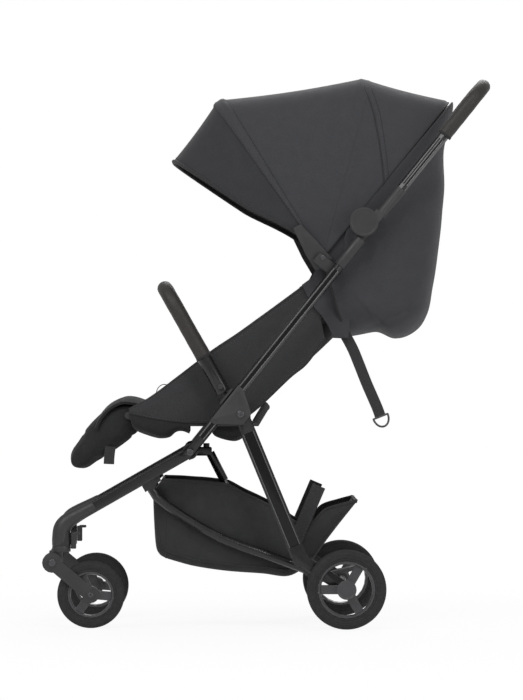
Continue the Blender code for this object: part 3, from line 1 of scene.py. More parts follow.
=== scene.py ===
# %% [markdown]
# # A compact travel stroller
# The CAD model gives every solid its true size and place, and this script dresses it.
# Metal and plastic parts get softened edges and a finish each.
# The cushions, the hood, the back panel and the basket are made again as cloth.

# %% Load the frame
import json
from math import atan2, cos, hypot, pi, radians, sin

import bpy
from mathutils import Matrix, Vector


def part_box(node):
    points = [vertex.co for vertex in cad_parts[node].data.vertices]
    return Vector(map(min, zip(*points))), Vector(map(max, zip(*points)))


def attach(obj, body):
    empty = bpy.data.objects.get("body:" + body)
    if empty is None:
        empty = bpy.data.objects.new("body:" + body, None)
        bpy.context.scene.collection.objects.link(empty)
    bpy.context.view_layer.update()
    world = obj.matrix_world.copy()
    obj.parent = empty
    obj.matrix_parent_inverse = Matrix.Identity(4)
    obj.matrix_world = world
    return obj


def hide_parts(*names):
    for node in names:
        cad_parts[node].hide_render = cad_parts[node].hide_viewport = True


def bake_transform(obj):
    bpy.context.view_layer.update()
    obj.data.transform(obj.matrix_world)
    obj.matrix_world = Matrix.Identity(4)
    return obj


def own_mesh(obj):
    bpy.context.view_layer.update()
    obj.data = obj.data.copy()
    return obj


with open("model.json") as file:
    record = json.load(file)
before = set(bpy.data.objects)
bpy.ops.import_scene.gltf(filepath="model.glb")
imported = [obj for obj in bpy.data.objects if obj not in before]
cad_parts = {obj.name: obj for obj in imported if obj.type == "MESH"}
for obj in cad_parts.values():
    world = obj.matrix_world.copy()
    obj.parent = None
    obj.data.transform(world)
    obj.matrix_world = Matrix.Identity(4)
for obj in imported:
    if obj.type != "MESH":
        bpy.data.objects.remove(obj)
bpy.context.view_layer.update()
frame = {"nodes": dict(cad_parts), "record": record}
nodes = frame["nodes"]

# %% [markdown]
# Operators act on whatever is selected, so nearly every step starts from a clean selection.
# These helpers select one piece, run edit-mode steps on all of it, apply a modifier, and say
# which body a finished piece moves with.

# %% Selection and finishing helpers
scene = bpy.context.scene
BODY_OF = {name: body for body, names in frame["record"]["behaviour"]["bodies"].items() for name in names}
SIDES = (("left", 1), ("right", -1))
SAME_POINT = 0.000001


def choose(piece):
    """Makes one piece the only selected and active one."""
    bpy.ops.object.select_all(action="DESELECT")
    piece.select_set(True)
    bpy.context.view_layer.objects.active = piece
    return piece


def edited(piece, *steps):
    """Runs edit-mode steps on all of a piece. A step is an operator with its values."""
    choose(piece)
    bpy.ops.object.mode_set(mode="EDIT")
    bpy.ops.mesh.select_all(action="SELECT")
    for operator, values in steps:
        operator(**values)
    bpy.ops.object.mode_set(mode="OBJECT")
    return piece


def modified(piece, kind, **values):
    """Gives a piece a modifier with its values and applies it."""
    choose(piece)
    modifier = piece.modifiers.new(kind.lower(), kind)
    for key, value in values.items():
        setattr(modifier, key, value)
    bpy.ops.object.modifier_apply(modifier=modifier.name)
    return piece


def shaded(piece, degrees=34):
    """Shades a piece smooth, except across edges sharper than an angle."""
    choose(piece)
    bpy.ops.object.shade_smooth_by_angle(angle=radians(degrees))
    return piece


def weld(piece, distance=0.00002):
    """Merges doubled points and turns every face outwards."""
    return edited(piece, (bpy.ops.mesh.remove_doubles, {"threshold": distance}),
                  (bpy.ops.mesh.normals_make_consistent, {"inside": False}))


def rounded(piece, width, segments=2, corner=radians(38)):
    """Softens the sharp edges of a piece and shades it smooth."""
    modified(piece, "BEVEL", width=width, segments=segments, limit_method="ANGLE", angle_limit=corner,
             use_clamp_overlap=True)
    return shaded(piece)


def mesh_piece(name, points, faces):
    """A new piece from its points and faces."""
    mesh = bpy.data.meshes.new(name)
    mesh.from_pydata(points, [], faces)
    piece = bpy.data.objects.new(name, mesh)
    scene.collection.objects.link(piece)
    return piece


def twin(source):
    """A free copy of a piece, with its own mesh."""
    piece = source.copy()
    piece.data = source.data.copy()
    piece.parent = None
    for key in list(piece.keys()):
        del piece[key]
    scene.collection.objects.link(piece)
    return piece


def settle(piece, name):
    """Names a piece and puts its place into its mesh."""
    choose(piece)
    bpy.ops.object.transform_apply(location=True, rotation=True, scale=True)
    piece.name = name
    piece.data.name = name
    return piece


def finish(piece, name, body, paint, slot, *stands_for):
    """Names, paints and places a piece on its body, and hides the solids it stands for.

    Instead of one body, cloth that crosses a joint is given two bodies and the places
    where it leaves the first and reaches the second. These are not used: such cloth is
    only fixed in place and put on no body.
    """
    settle(piece, name)
    piece.data.materials.clear()
    piece.data.materials.append(paint.material)
    if isinstance(body, tuple):
        first, second, start, end = body
        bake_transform(piece)
        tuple(start)
        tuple(end)
    else:
        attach(piece, body)
    if stands_for:
        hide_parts(*stands_for)
    return piece


# %% [markdown]
# The photograph was taken from the stroller's left side, with a long lens and at about
# half its height. A camera nine metres away on the +X side gives the same flat view.

# %% Camera
CAMERA_PLACE = Vector((9.0, -0.0687, 0.516))
CAMERA_TARGET = Vector((0.0, -0.0079, 0.5257))
CAMERA_LENS = 239.8

bpy.ops.object.camera_add(location=CAMERA_PLACE)
camera = bpy.context.object
camera.name = "camera"
camera.rotation_euler = (CAMERA_TARGET - CAMERA_PLACE).to_track_quat("-Z", "Y").to_euler()
camera.data.sensor_width = 36.0
camera.data.lens = CAMERA_LENS
scene.camera = camera
print("camera stands", round((CAMERA_TARGET - CAMERA_PLACE).length, 3), "m away")

# %% [markdown]
# A product photograph stands on white paper. The floor is a pale disc that takes the
# shadow near the wheels and turns to plain white further out, where it meets the world.
# Four soft lamps and a pale world light the black parts from all sides.

# %% Floor
FLOOR_REACH = 6.0
FLOOR_COLOUR = (0.86, 0.86, 0.86, 1.0)
FLOOR_WHITENESS = 0.90
SHADOW_END, WHITE_START = 0.45, 1.9
WHITE = (1.0, 1.0, 1.0, 1.0)


def filled(node, **values):
    """Sets inputs of a shader node. Underscores stand for the spaces in their names."""
    for key, value in values.items():
        node.inputs[key.replace("_", " ")].default_value = value
    return node


def add_node(tree, kind, **values):
    """A new shader node with some of its inputs set."""
    return filled(tree.nodes.new("ShaderNode" + kind), **values)


def link_all(tree, *pairs):
    """Links outputs to inputs."""
    for output, target in pairs:
        tree.links.new(output, target)


bpy.ops.mesh.primitive_circle_add(vertices=96, radius=FLOOR_REACH, fill_type="NGON")
floor = settle(bpy.context.object, "floor")
paper = bpy.data.materials.new("white paper")
paper.use_nodes = True
tree = paper.node_tree
matt = filled(tree.nodes["Principled BSDF"], Base_Color=FLOOR_COLOUR, Roughness=0.9, Specular_IOR_Level=0.1)
place = add_node(tree, "TexCoord")
distance = add_node(tree, "VectorMath")
distance.operation = "LENGTH"
spread = add_node(tree, "MapRange", From_Min=SHADOW_END, From_Max=WHITE_START, To_Min=FLOOR_WHITENESS)
spread.interpolation_type = "SMOOTHSTEP"
glow = add_node(tree, "Emission")
rays = add_node(tree, "LightPath")
seen = add_node(tree, "Math")
seen.operation = "MAXIMUM"
share = add_node(tree, "Math")
share.operation = "MULTIPLY"
blend = add_node(tree, "MixShader")
link_all(
    tree,
    (place.outputs["Object"], distance.inputs[0]),
    (distance.outputs["Value"], spread.inputs["Value"]),
    (rays.outputs["Is Camera Ray"], seen.inputs[0]),
    (rays.outputs["Is Glossy Ray"], seen.inputs[1]),
    (spread.outputs["Result"], share.inputs[0]),
    (seen.outputs["Value"], share.inputs[1]),
    (share.outputs["Value"], blend.inputs["Fac"]),
    (matt.outputs["BSDF"], blend.inputs[1]),
    (glow.outputs["Emission"], blend.inputs[2]),
    (blend.outputs["Shader"], tree.nodes["Material Output"].inputs["Surface"]),
)
floor.data.materials.append(paper)

# %% Lamps and world
LAMPS = (
    ("key", (3.2, -2.4, 3.4), 2.4, 88.0),
    ("strip", (2.6, 0.4, 3.6), 0.5, 26.0),
    ("fill", (3.4, 3.0, 1.6), 2.4, 42.0),
    ("back", (-3.0, 0.6, 3.0), 2.6, 75.0),
)
LAMP_TARGET = Vector((0.0, 0.0, 0.5))
SKY_STRENGTH = 0.46
for name, spot, size, power in LAMPS:
    bpy.ops.object.light_add(type="AREA", location=spot)
    lamp = bpy.context.object
    lamp.name = name + " lamp"
    lamp.data.shape = "DISK"
    lamp.data.size = size
    lamp.data.energy = power
    lamp.rotation_euler = (LAMP_TARGET - Vector(spot)).to_track_quat("-Z", "Y").to_euler()

world = bpy.data.worlds.new("studio")
scene.world = world
world.use_nodes = True
sky = world.node_tree
pale = filled(sky.nodes["Background"], Strength=SKY_STRENGTH, Color=WHITE)
clean = add_node(sky, "Background", Strength=1.0, Color=WHITE)
rays = add_node(sky, "LightPath")
pick = add_node(sky, "MixShader")
link_all(
    sky,
    (rays.outputs["Is Camera Ray"], pick.inputs["Fac"]),
    (pale.outputs["Background"], pick.inputs[1]),
    (clean.outputs["Background"], pick.inputs[2]),
    (pick.outputs["Shader"], sky.nodes["World Output"].inputs["Surface"]),
)
scene.view_settings.view_transform = "Standard"
print("lamps:", len(LAMPS))

# %% [markdown]
# Every finish below is procedural and reads Object coordinates, so a pattern keeps its
# real size in metres on every piece. A small builder makes a Principled shader and hands
# back functions that add noise, threads and bumps to it, and a recipe lists them in a line.


# %% A finish builder
FLECK_RANGE = (0.3, 0.7)


class Finish:
    """A Principled material that takes its patterns one at a time."""

    def __init__(self, name, roughness, metallic=0.0, specular=0.5, sheen=0.0, coat=0.0):
        self.material = bpy.data.materials.new(name)
        self.material.use_nodes = True
        self.tree = self.material.node_tree
        self.shader = filled(self.tree.nodes["Principled BSDF"], Roughness=roughness, Metallic=metallic,
                             Specular_IOR_Level=specular, Sheen_Weight=sheen, Sheen_Roughness=0.5,
                             Coat_Weight=coat, Coat_Roughness=0.12)
        self.place = add_node(self.tree, "TexCoord").outputs["Object"]
        self.normal = None

    def noise(self, size, detail=3.0):
        """A noise whose blotches are about this many metres across."""
        texture = add_node(self.tree, "TexNoise", Scale=1.0 / size, Detail=detail)
        self.tree.links.new(self.place, texture.inputs["Vector"])
        return texture.outputs["Fac"]

    def cells(self, size):
        """Rounded cells like the grain of leather."""
        texture = add_node(self.tree, "TexVoronoi", Scale=1.0 / size)
        texture.feature = "DISTANCE_TO_EDGE"
        self.tree.links.new(self.place, texture.inputs["Vector"])
        return self.remap(texture.outputs["Distance"], 0.0, 0.35)

    def combined(self, operation, *patterns):
        """One or two patterns put through a sum, a product or another operation."""
        node = add_node(self.tree, "Math")
        node.operation = operation
        for pattern, target in zip(patterns, node.inputs):
            self.tree.links.new(pattern, target)
        return node.outputs["Value"]

    def sine(self, direction, spacing):
        """Ridges along one direction, one in each spacing."""
        along = add_node(self.tree, "VectorMath")
        along.operation = "DOT_PRODUCT"
        along.inputs[1].default_value = Vector(direction) * (2 * pi / spacing)
        self.tree.links.new(self.place, along.inputs[0])
        return self.combined("SINE", along.outputs["Value"])

    def weave(self, spacing):
        """Crossing threads that read on a surface facing any way."""
        first, second, third, fourth = (self.sine(direction, spacing) for direction in
                                        ((1, 0, 0.35), (0, 0.35, 1), (0, 1, 0.2), (0.2, 0, 1)))
        return self.combined("ADD", self.combined("MULTIPLY", first, second),
                             self.combined("MULTIPLY", third, fourth))

    def remap(self, value, low, high, to_low=0.0, to_high=1.0):
        """A pattern stretched from one range to another."""
        change = add_node(self.tree, "MapRange", From_Min=low, From_Max=high, To_Min=to_low, To_Max=to_high)
        self.tree.links.new(value, change.inputs["Value"])
        return change.outputs["Result"]

    def colour(self, value, dark, light):
        """Base colour between two tones."""
        ramp = add_node(self.tree, "Mix")
        ramp.data_type = "RGBA"
        filled(ramp, A=(*dark, 1.0), B=(*light, 1.0))
        link_all(self.tree, (value, ramp.inputs["Factor"]),
                 (ramp.outputs["Result"], self.shader.inputs["Base Color"]))

    def gloss(self, value, low, high):
        """Roughness between two levels."""
        self.tree.links.new(self.remap(value, *FLECK_RANGE, low, high), self.shader.inputs["Roughness"])

    def relief(self, value, depth, strength):
        """Bumps of a depth in metres, on top of the bumps already there."""
        bump = add_node(self.tree, "Bump", Strength=strength, Distance=depth)
        self.tree.links.new(value, bump.inputs["Height"])
        if self.normal:
            self.tree.links.new(self.normal, bump.inputs["Normal"])
        self.normal = bump.outputs["Normal"]
        self.tree.links.new(self.normal, self.shader.inputs["Normal"])


def recipe(name, roughness, tones, gloss, *bumps, flecked=False, **shader):
    """A finish with two tones of colour, two levels of gloss and bumps on top of each other.

    Tones are the size and detail of a noise and two colours, and gloss is a size and two
    roughnesses. A bump is a pattern with its values, a depth in metres and a strength.
    """
    made = Finish(name, roughness, **shader)
    size, detail, dark, light = tones
    pattern = made.noise(size, detail)
    made.colour(made.remap(pattern, *FLECK_RANGE) if flecked else pattern, dark, light)
    made.gloss(made.noise(gloss[0]), *gloss[1:])
    for (kind, *values), depth, strength in bumps:
        made.relief(kind(made, *values), depth, strength)
    return made


# %% [markdown]
# The tubes are painted satin black: dark, smooth and a little glossy, with a faint
# unevenness in the paint. The mouldings are a greyer black with a fine grain. The raised
# lines on the tubes and the rear legs get a lighter grey, which is a painted highlight.

# %% Hard finishes
NOISE, CELLS, SINE, WEAVE = Finish.noise, Finish.cells, Finish.sine, Finish.weave

frame_paint = recipe(
    "satin black paint", 0.26, (0.030, 3.0, (0.0060, 0.0060, 0.0065), (0.0110, 0.0110, 0.0116)),
    (0.012, 0.22, 0.32), ((NOISE, 0.0016, 1.0), 0.00003, 0.15), specular=0.40, coat=0.10)
# A lighter grey for the raised lines on the tubes and the rear legs: a painted highlight.
painted_highlight_grey = recipe(
    "lighter grey paint as painted highlight", 0.26, (0.030, 3.0, (0.045, 0.045, 0.047), (0.085, 0.085, 0.088)),
    (0.020, 0.24, 0.30), ((NOISE, 0.0016, 1.0), 0.00002, 0.1), specular=0.60, coat=0.10)
gloss_black = recipe(
    "gloss black plastic", 0.16, (0.05, 3.0, (0.0050, 0.0050, 0.0055), (0.0090, 0.0090, 0.0096)),
    (0.02, 0.12, 0.20), ((NOISE, 0.004, 1.0), 0.00004, 0.3), specular=0.22)
grained_plastic = recipe(
    "grained black plastic", 0.50, (0.020, 3.0, (0.018, 0.018, 0.019), (0.028, 0.028, 0.030)),
    (0.010, 0.42, 0.56), ((NOISE, 0.0009, 2.0), 0.00006, 0.3), specular=0.45)
dark_steel = recipe(
    "blackened steel", 0.32, (0.003, 3.0, (0.070, 0.070, 0.074), (0.120, 0.120, 0.125)),
    (0.002, 0.26, 0.40), ((NOISE, 0.0008, 1.0), 0.00003, 0.4), metallic=1.0)
foam_rubber = recipe(
    "tyre foam rubber", 0.82, (0.006, 4.0, (0.016, 0.0155, 0.016), (0.027, 0.026, 0.026)),
    (0.008, 0.74, 0.90), ((NOISE, 0.0007, 3.0), 0.00022, 0.7), specular=0.3)
rim_plastic = recipe(
    "dark grey wheel plastic", 0.42, (0.015, 3.0, (0.030, 0.030, 0.033), (0.048, 0.048, 0.051)),
    (0.006, 0.34, 0.48), ((NOISE, 0.0010, 2.0), 0.00006, 0.4))
grip_leather = recipe(
    "stitched grip leather", 0.55, (0.008, 3.0, (0.017, 0.0145, 0.0135), (0.028, 0.024, 0.022)),
    (0.004, 0.48, 0.62), ((CELLS, 0.0018), 0.00016, 0.5), ((NOISE, 0.010, 2.0), 0.0004, 0.3), specular=0.4,
    sheen=0.05)
print("hard finishes made")

# %% [markdown]
# The hood and the back panel are a fine charcoal weave. The seat is a coarser black cloth
# with lighter flecks. Webbing is ribbed across. Each has its thread as a bump, its flecks
# as colour, and the larger cloths the soft broad creases that a real cloth always keeps.

# %% Soft finishes
HOOD_THREAD = 0.0011
SEAT_THREAD = 0.0016
TAPE_THREAD = 0.0009
WEBBING_RIB = 0.0018

hood_cloth = recipe(
    "charcoal hood cloth", 0.86, (0.0012, 2.0, (0.031, 0.0312, 0.0350), (0.046, 0.0464, 0.0515)),
    (0.02, 0.80, 0.92), ((WEAVE, HOOD_THREAD), 0.00010, 0.35), ((NOISE, 0.055, 1.0), 0.0016, 0.22),
    flecked=True, specular=0.25, sheen=0.10)
seat_cloth = recipe(
    "black seat cloth", 0.90, (0.0014, 2.0, (0.024, 0.0242, 0.0254), (0.040, 0.0403, 0.0420)),
    (0.015, 0.84, 0.96), ((WEAVE, SEAT_THREAD), 0.00016, 0.4), ((NOISE, 0.045, 1.0), 0.0014, 0.22),
    flecked=True, specular=0.22, sheen=0.12)
pad_cloth = recipe(
    "dark seat cloth", 0.88, (0.0014, 2.0, (0.013, 0.0131, 0.0138), (0.023, 0.0232, 0.0243)),
    (0.02, 0.80, 0.92), ((WEAVE, SEAT_THREAD), 0.00016, 0.4), ((NOISE, 0.045, 1.0), 0.0014, 0.22),
    flecked=True, specular=0.20, sheen=0.05)
channel_cloth = recipe(
    "darker channel cloth", 0.84, (0.0012, 2.0, (0.022, 0.0222, 0.0245), (0.034, 0.0344, 0.0375)),
    (0.02, 0.78, 0.90), ((WEAVE, HOOD_THREAD), 0.00010, 0.4), flecked=True, specular=0.25, sheen=0.08)
basket_cloth = recipe(
    "smooth basket cloth", 0.82, (0.0011, 2.0, (0.017, 0.0171, 0.0178), (0.029, 0.0292, 0.0302)),
    (0.02, 0.74, 0.88), ((WEAVE, HOOD_THREAD), 0.00009, 0.35), ((NOISE, 0.040, 1.0), 0.0012, 0.20),
    flecked=True, specular=0.28, sheen=0.06)
lining_cloth = recipe(
    "smooth black lining", 0.78, (0.0012, 2.0, (0.012, 0.012, 0.013), (0.022, 0.022, 0.024)),
    (0.02, 0.70, 0.84), ((WEAVE, HOOD_THREAD), 0.00008, 0.3), specular=0.3, sheen=0.05)
binding_tape = recipe(
    "woven binding tape", 0.80, (0.0010, 2.0, (0.014, 0.014, 0.015), (0.030, 0.030, 0.032)),
    (0.006, 0.72, 0.86), ((WEAVE, TAPE_THREAD), 0.00012, 0.5), specular=0.3, sheen=0.08)
webbing = recipe(
    "black webbing", 0.70, (0.0016, 2.0, (0.013, 0.013, 0.014), (0.026, 0.026, 0.028)), (0.004, 0.60, 0.78),
    ((SINE, (0.25, 0.6, 0.75), WEBBING_RIB), 0.00020, 0.6), specular=0.35, sheen=0.06)
thread_finish = recipe(
    "sewing thread", 0.65, (0.0006, 1.0, (0.055, 0.056, 0.060), (0.090, 0.092, 0.098)), (0.002, 0.55, 0.70),
    specular=0.35)
print("soft finishes made")

# %% [markdown]
# The solids come in as loose triangles with knife-sharp edges. A real tube or moulding
# always has a small radius that catches the light. Each hard part is therefore copied,
# welded, cleared of needless edges and given a small bevel, and it stands for its solid.


# %% Dressed copies of the hard parts
def dressed(source_name, name, look, edge):
    """A welded copy of a solid with softened edges and a finish."""
    piece = weld(twin(nodes[source_name]))
    edited(piece, (bpy.ops.mesh.dissolve_limited, {"angle_limit": radians(0.6)}))
    if edge:
        rounded(piece, edge)
    else:
        shaded(piece)
    return finish(piece, name + "_dressed", BODY_OF[source_name], *look, source_name)


PAINTED = (frame_paint, "frame_metal")
MOULDED = (grained_plastic, "black_plastic")
BUTTON = (grained_plastic, "bolt_metal")
WHEEL = (rim_plastic, "rim_plastic")
HARD_PARTS = (
    ("main_tube", "side_tube", PAINTED, 0.0008),
    ("leg_bracket", "leg_bracket", MOULDED, 0.0006),
    ("lower_hub", "lower_handle_joint", MOULDED, 0.0010),
    ("upper_hub", "upper_handle_joint", MOULDED, 0.0010),
    ("bumper_mount", "bumper_saddle", MOULDED, 0.0008),
    ("bumper_button", "bumper_button", BUTTON, 0.0006),
    ("rear_leg", "rear_leg", PAINTED, 0.0007),
    ("front_leg", "front_leg", PAINTED, 0.0016),
    ("caster", "caster_housing", MOULDED, 0.0040),
    ("front_fork", "front_fork", MOULDED, 0.0007),
    ("swivel_lock", "swivel_lock", MOULDED, 0.0006),
    ("rear_rim", "rear_wheel_rim", WHEEL, 0.0009),
    ("front_rim", "front_wheel_rim", WHEEL, 0.0008),
    ("lower_rail", "lower_rail", PAINTED, 0.0008),
)
SINGLE_PARTS = (
    ("lower_cross_tube", "lower_cross_tube", PAINTED, 0.0006),
    ("seat_cross_tube", "seat_cross_tube", PAINTED, 0.0006),
    ("rear_axle_tube", "rear_axle_tube", PAINTED, 0.0006),
    ("handle_tube", "handle_tube", PAINTED, 0.0),
    ("bumper_bar", "bumper_bar", PAINTED, 0.0006),
    ("fold_strut", "fold_strut", PAINTED, 0.0006),
    ("strut_rod", "strut_rod", (dark_steel, "bolt_metal"), 0.0004),
    ("release_knob", "release_knob", MOULDED, 0.0008),
    ("seat_board", "seat_board", MOULDED, 0.0008),
    ("hood_rear_bow", "hood_rear_bow", MOULDED, 0.0004),
    ("hood_mid_bow", "hood_middle_bow", MOULDED, 0.0004),
    ("hood_front_bow", "hood_front_bow", MOULDED, 0.0004),
    ("brake_pedal", "brake_pedal", MOULDED, 0.0008),
    ("buckle_button", "buckle_button", BUTTON, 0.0006),
)
for stem, name, look, edge in HARD_PARTS:
    for side_name, side in SIDES:
        dressed(f"{stem}_{side_name}", f"{name}_{side_name}", look, edge)
for source_name, name, look, edge in SINGLE_PARTS:
    dressed(source_name, name, look, edge)
print("hard parts dressed:", 2 * len(HARD_PARTS) + len(SINGLE_PARTS))

# %% [markdown]
# Foam tyres are moulded with a few shallow rings and a softly rounded shoulder. The
# section is drawn once as a row of points, extruded by spinning it about the axle, and
# welded where the turn closes.


# %% Tyres
def ring_piece(profile, centre, steps):
    """A closed profile of (radius, sideways) points spun about a line across the stroller."""
    bpy.ops.mesh.primitive_circle_add(vertices=len(profile), radius=1.0, location=(0, 0, 0))
    piece = bpy.context.object
    for corner, (radius, sideways) in zip(piece.data.vertices, profile):
        corner.co = (sideways, 0.0, radius)
    full_turn = {"steps": steps, "angle": 2 * pi, "center": (0, 0, 0), "axis": (1, 0, 0)}
    edited(piece, (bpy.ops.mesh.spin, full_turn))
    piece.location = centre
    return piece


def tyre_profile(radius, rim_radius, half):
    """Section of a foam tyre: a crowned tread with three rings, and stepped side walls."""
    wall = radius - rim_radius
    side = [
        (rim_radius + 0.0003, 0.84), (rim_radius + wall * 0.16, 0.90), (rim_radius + wall * 0.20, 0.86),
        (rim_radius + wall * 0.26, 0.93), (rim_radius + wall * 0.42, 0.985),
        (rim_radius + wall * 0.47, 0.95), (rim_radius + wall * 0.53, 0.99),
        (rim_radius + wall * 0.68, 0.955), (radius - wall * 0.16, 0.82), (radius - wall * 0.06, 0.66),
        (radius - wall * 0.02, 0.50), (radius - 0.0012, 0.44), (radius - 0.0012, 0.38),
        (radius, 0.32), (radius, 0.12), (radius - 0.0012, 0.07), (radius - 0.0012, 0.0),
    ]
    outline = [(reach, share * half) for reach, share in side]
    return outline + [(reach, -share) for reach, share in reversed(outline[:-1])]


for stem, steps in (("front", 72), ("rear", 84)):
    for side_name, side in SIDES:
        tyre_name = f"{stem}_tyre_{side_name}"
        low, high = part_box(tyre_name)
        rim_low, rim_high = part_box(f"{stem}_rim_{side_name}")
        profile = tyre_profile((high[2] - low[2]) / 2, (rim_high[2] - rim_low[2]) / 2, (high[0] - low[0]) / 2)
        tyre = shaded(weld(ring_piece(profile, (Vector(low) + Vector(high)) / 2, steps)), 50)
        finish(tyre, tyre_name + "_foam", BODY_OF[tyre_name], foam_rubber, "tyre_rubber", tyre_name)
print("tyres spun")

# %% [markdown]
# Screws and bolts give scale to a frame. A head is modelled in two sizes, with a hexagon
# socket: a cylinder whose face is inset, cut and pushed in. Its copies are placed on the
# joints of the frame.


# %% Screw heads
def ahead(point, angle, distance, aside=0.0):
    """A (y, z) point at a distance from another in a direction, and to its left."""
    y = point[0] + distance * cos(angle) - aside * sin(angle)
    z = point[1] + distance * sin(angle) + aside * cos(angle)
    return (y, z)


def at(x, point):
    """A place in space from x and a (y, z) point."""
    return Vector((x, point[0], point[1]))


def outer_face(node_name, side):
    """The x of a solid's outermost face on one side."""
    low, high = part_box(node_name)
    return high[0] if side > 0 else low[0]


def turned_out(piece, place, side):
    """Stands a piece that was modelled upright on a place, facing sideways."""
    piece.matrix_world = Matrix.Translation(place) @ Matrix.Rotation(side * pi / 2, 4, "Y")
    return piece


def screw_head(radius, height, socket):
    """A domed head with a hexagon socket, facing up, with its foot at the origin."""
    bpy.ops.mesh.primitive_cylinder_add(vertices=36, radius=radius, depth=height, location=(0, 0, height / 2))
    piece = bpy.context.object
    choose(piece)
    bpy.ops.object.mode_set(mode="EDIT")
    bpy.ops.mesh.select_all(action="DESELECT")
    bpy.ops.object.mode_set(mode="OBJECT")
    for face in piece.data.polygons:
        face.select = face.normal.z > 0.9
    bpy.ops.object.mode_set(mode="EDIT")
    bpy.ops.mesh.select_mode(type="FACE")
    bpy.ops.mesh.inset(thickness=radius * 0.30, depth=height * 0.20)
    bpy.ops.mesh.inset(thickness=radius * 0.70 - socket)
    bpy.ops.mesh.extrude_region_move(TRANSFORM_OT_translate={"value": (0, 0, -height * 0.65)})
    bpy.ops.object.mode_set(mode="OBJECT")
    rounded(piece, radius * 0.05, 2, radians(30))
    return piece


def place_screw(master, name, source_name, point, side, body, sink=0.0):
    """A copy of a screw head on the outer face of a solid, sunk a little where it needs to be."""
    x = outer_face(source_name, side) - side * sink
    return finish(turned_out(twin(master), at(x, point), side), name, body, dark_steel, "bolt_metal")


REAR_PIVOT = (-0.04891, 0.40475)
LOWER_PIVOT = (-0.1442, 0.3330)
ARM_PIVOT = (-0.4043, 0.1240)
FRONT_AXLE = (-0.3317, 0.0635)
REAR_AXLE = (0.1504, 0.0750)
AXLE_SINK = 0.0006
large_screw = screw_head(0.0062, 0.0022, 0.0024)
small_screw = screw_head(0.0042, 0.0018, 0.0017)
for side_name, side in SIDES:
    fork, fork_body = "front_fork_" + side_name, "fork_" + side_name
    for master, name, source_name, point, body, sink in (
            (large_screw, "leg_pivot", "leg_bracket_" + side_name, REAR_PIVOT, "frame", 0.0),
            (large_screw, "lower_pivot", "lower_cross_tube", LOWER_PIVOT, "frame", 0.0),
            (large_screw, "arm_pivot", fork, ARM_PIVOT, fork_body, 0.0),
            (small_screw, "front_axle", fork, FRONT_AXLE, fork_body, AXLE_SINK)):
        place_screw(master, f"{name}_screw_{side_name}", source_name, point, side, body, sink)
print("screws placed")

# %% [markdown]
# The rear wheel and the handle joint are closed by round caps with a raised rim, and the
# rear leg carries a long glossy inlay in its recess, with a thin line of painted highlight
# along each edge. All are primitives that are inset and bevelled until they read as moulded
# parts.


# %% Wheel caps, joint covers and leg inlays
def round_cap(name, radius, ring, source_name, point, side, body, paint):
    """A round cover with a raised ring and a shallow dish, on the outer face of a solid."""
    bpy.ops.mesh.primitive_cylinder_add(vertices=56, radius=radius, depth=CAP_HEIGHT,
                                        location=(0, 0, CAP_HEIGHT / 2))
    piece = bpy.context.object
    choose(piece)
    for face in piece.data.polygons:
        face.select = face.normal.z > 0.9
    bpy.ops.object.mode_set(mode="EDIT")
    bpy.ops.mesh.select_mode(type="FACE")
    bpy.ops.mesh.inset(thickness=ring)
    bpy.ops.mesh.inset(thickness=0.0008, depth=-CAP_HEIGHT * 0.35)
    bpy.ops.mesh.inset(thickness=radius * 0.30, depth=CAP_HEIGHT * 0.10)
    bpy.ops.object.mode_set(mode="OBJECT")
    rounded(piece, 0.0005, 2, radians(25))
    turned_out(piece, at(outer_face(source_name, side), point), side)
    return finish(piece, name, body, paint, "black_plastic")


HUB_PLACE = (0.18368, 0.76662)
HUB_COVER_RADIUS = 0.0255
WHEEL_CAP_RADIUS = 0.0185
CAP_HEIGHT = 0.0018
for side_name, side in SIDES:
    round_cap("rear_wheel_cap_" + side_name, WHEEL_CAP_RADIUS, 0.0022, "rear_rim_" + side_name,
              REAR_AXLE, side, "rear_wheel_" + side_name, rim_plastic)
    round_cap("handle_joint_cover_" + side_name, HUB_COVER_RADIUS, 0.0016, "upper_hub_" + side_name,
              HUB_PLACE, side, "handle", grained_plastic)

REAR_KNUCKLE = (0.0634, 0.1318)
LEG_ANGLE = atan2(REAR_KNUCKLE[1] - REAR_PIVOT[1], REAR_KNUCKLE[0] - REAR_PIVOT[0])
LEG_LENGTH = hypot(REAR_KNUCKLE[0] - REAR_PIVOT[0], REAR_KNUCKLE[1] - REAR_PIVOT[1])
LEG_OUTER_X = 0.2205
LEG_EDGE_RADIUS = 0.0010
LEG_EDGE_SHARES = (0.13, 0.91)
INLAY_MIDDLE = 0.52
INLAY_LENGTH = LEG_LENGTH * 0.78 - 0.0012
INLAY_WIDTH = 0.0178
INLAY_DEPTH = 0.0014


def on_leg(x, share, aside=0.0):
    """A place on a rear leg at a share of its length."""
    return at(x, ahead(REAR_PIVOT, LEG_ANGLE, LEG_LENGTH * share, aside))


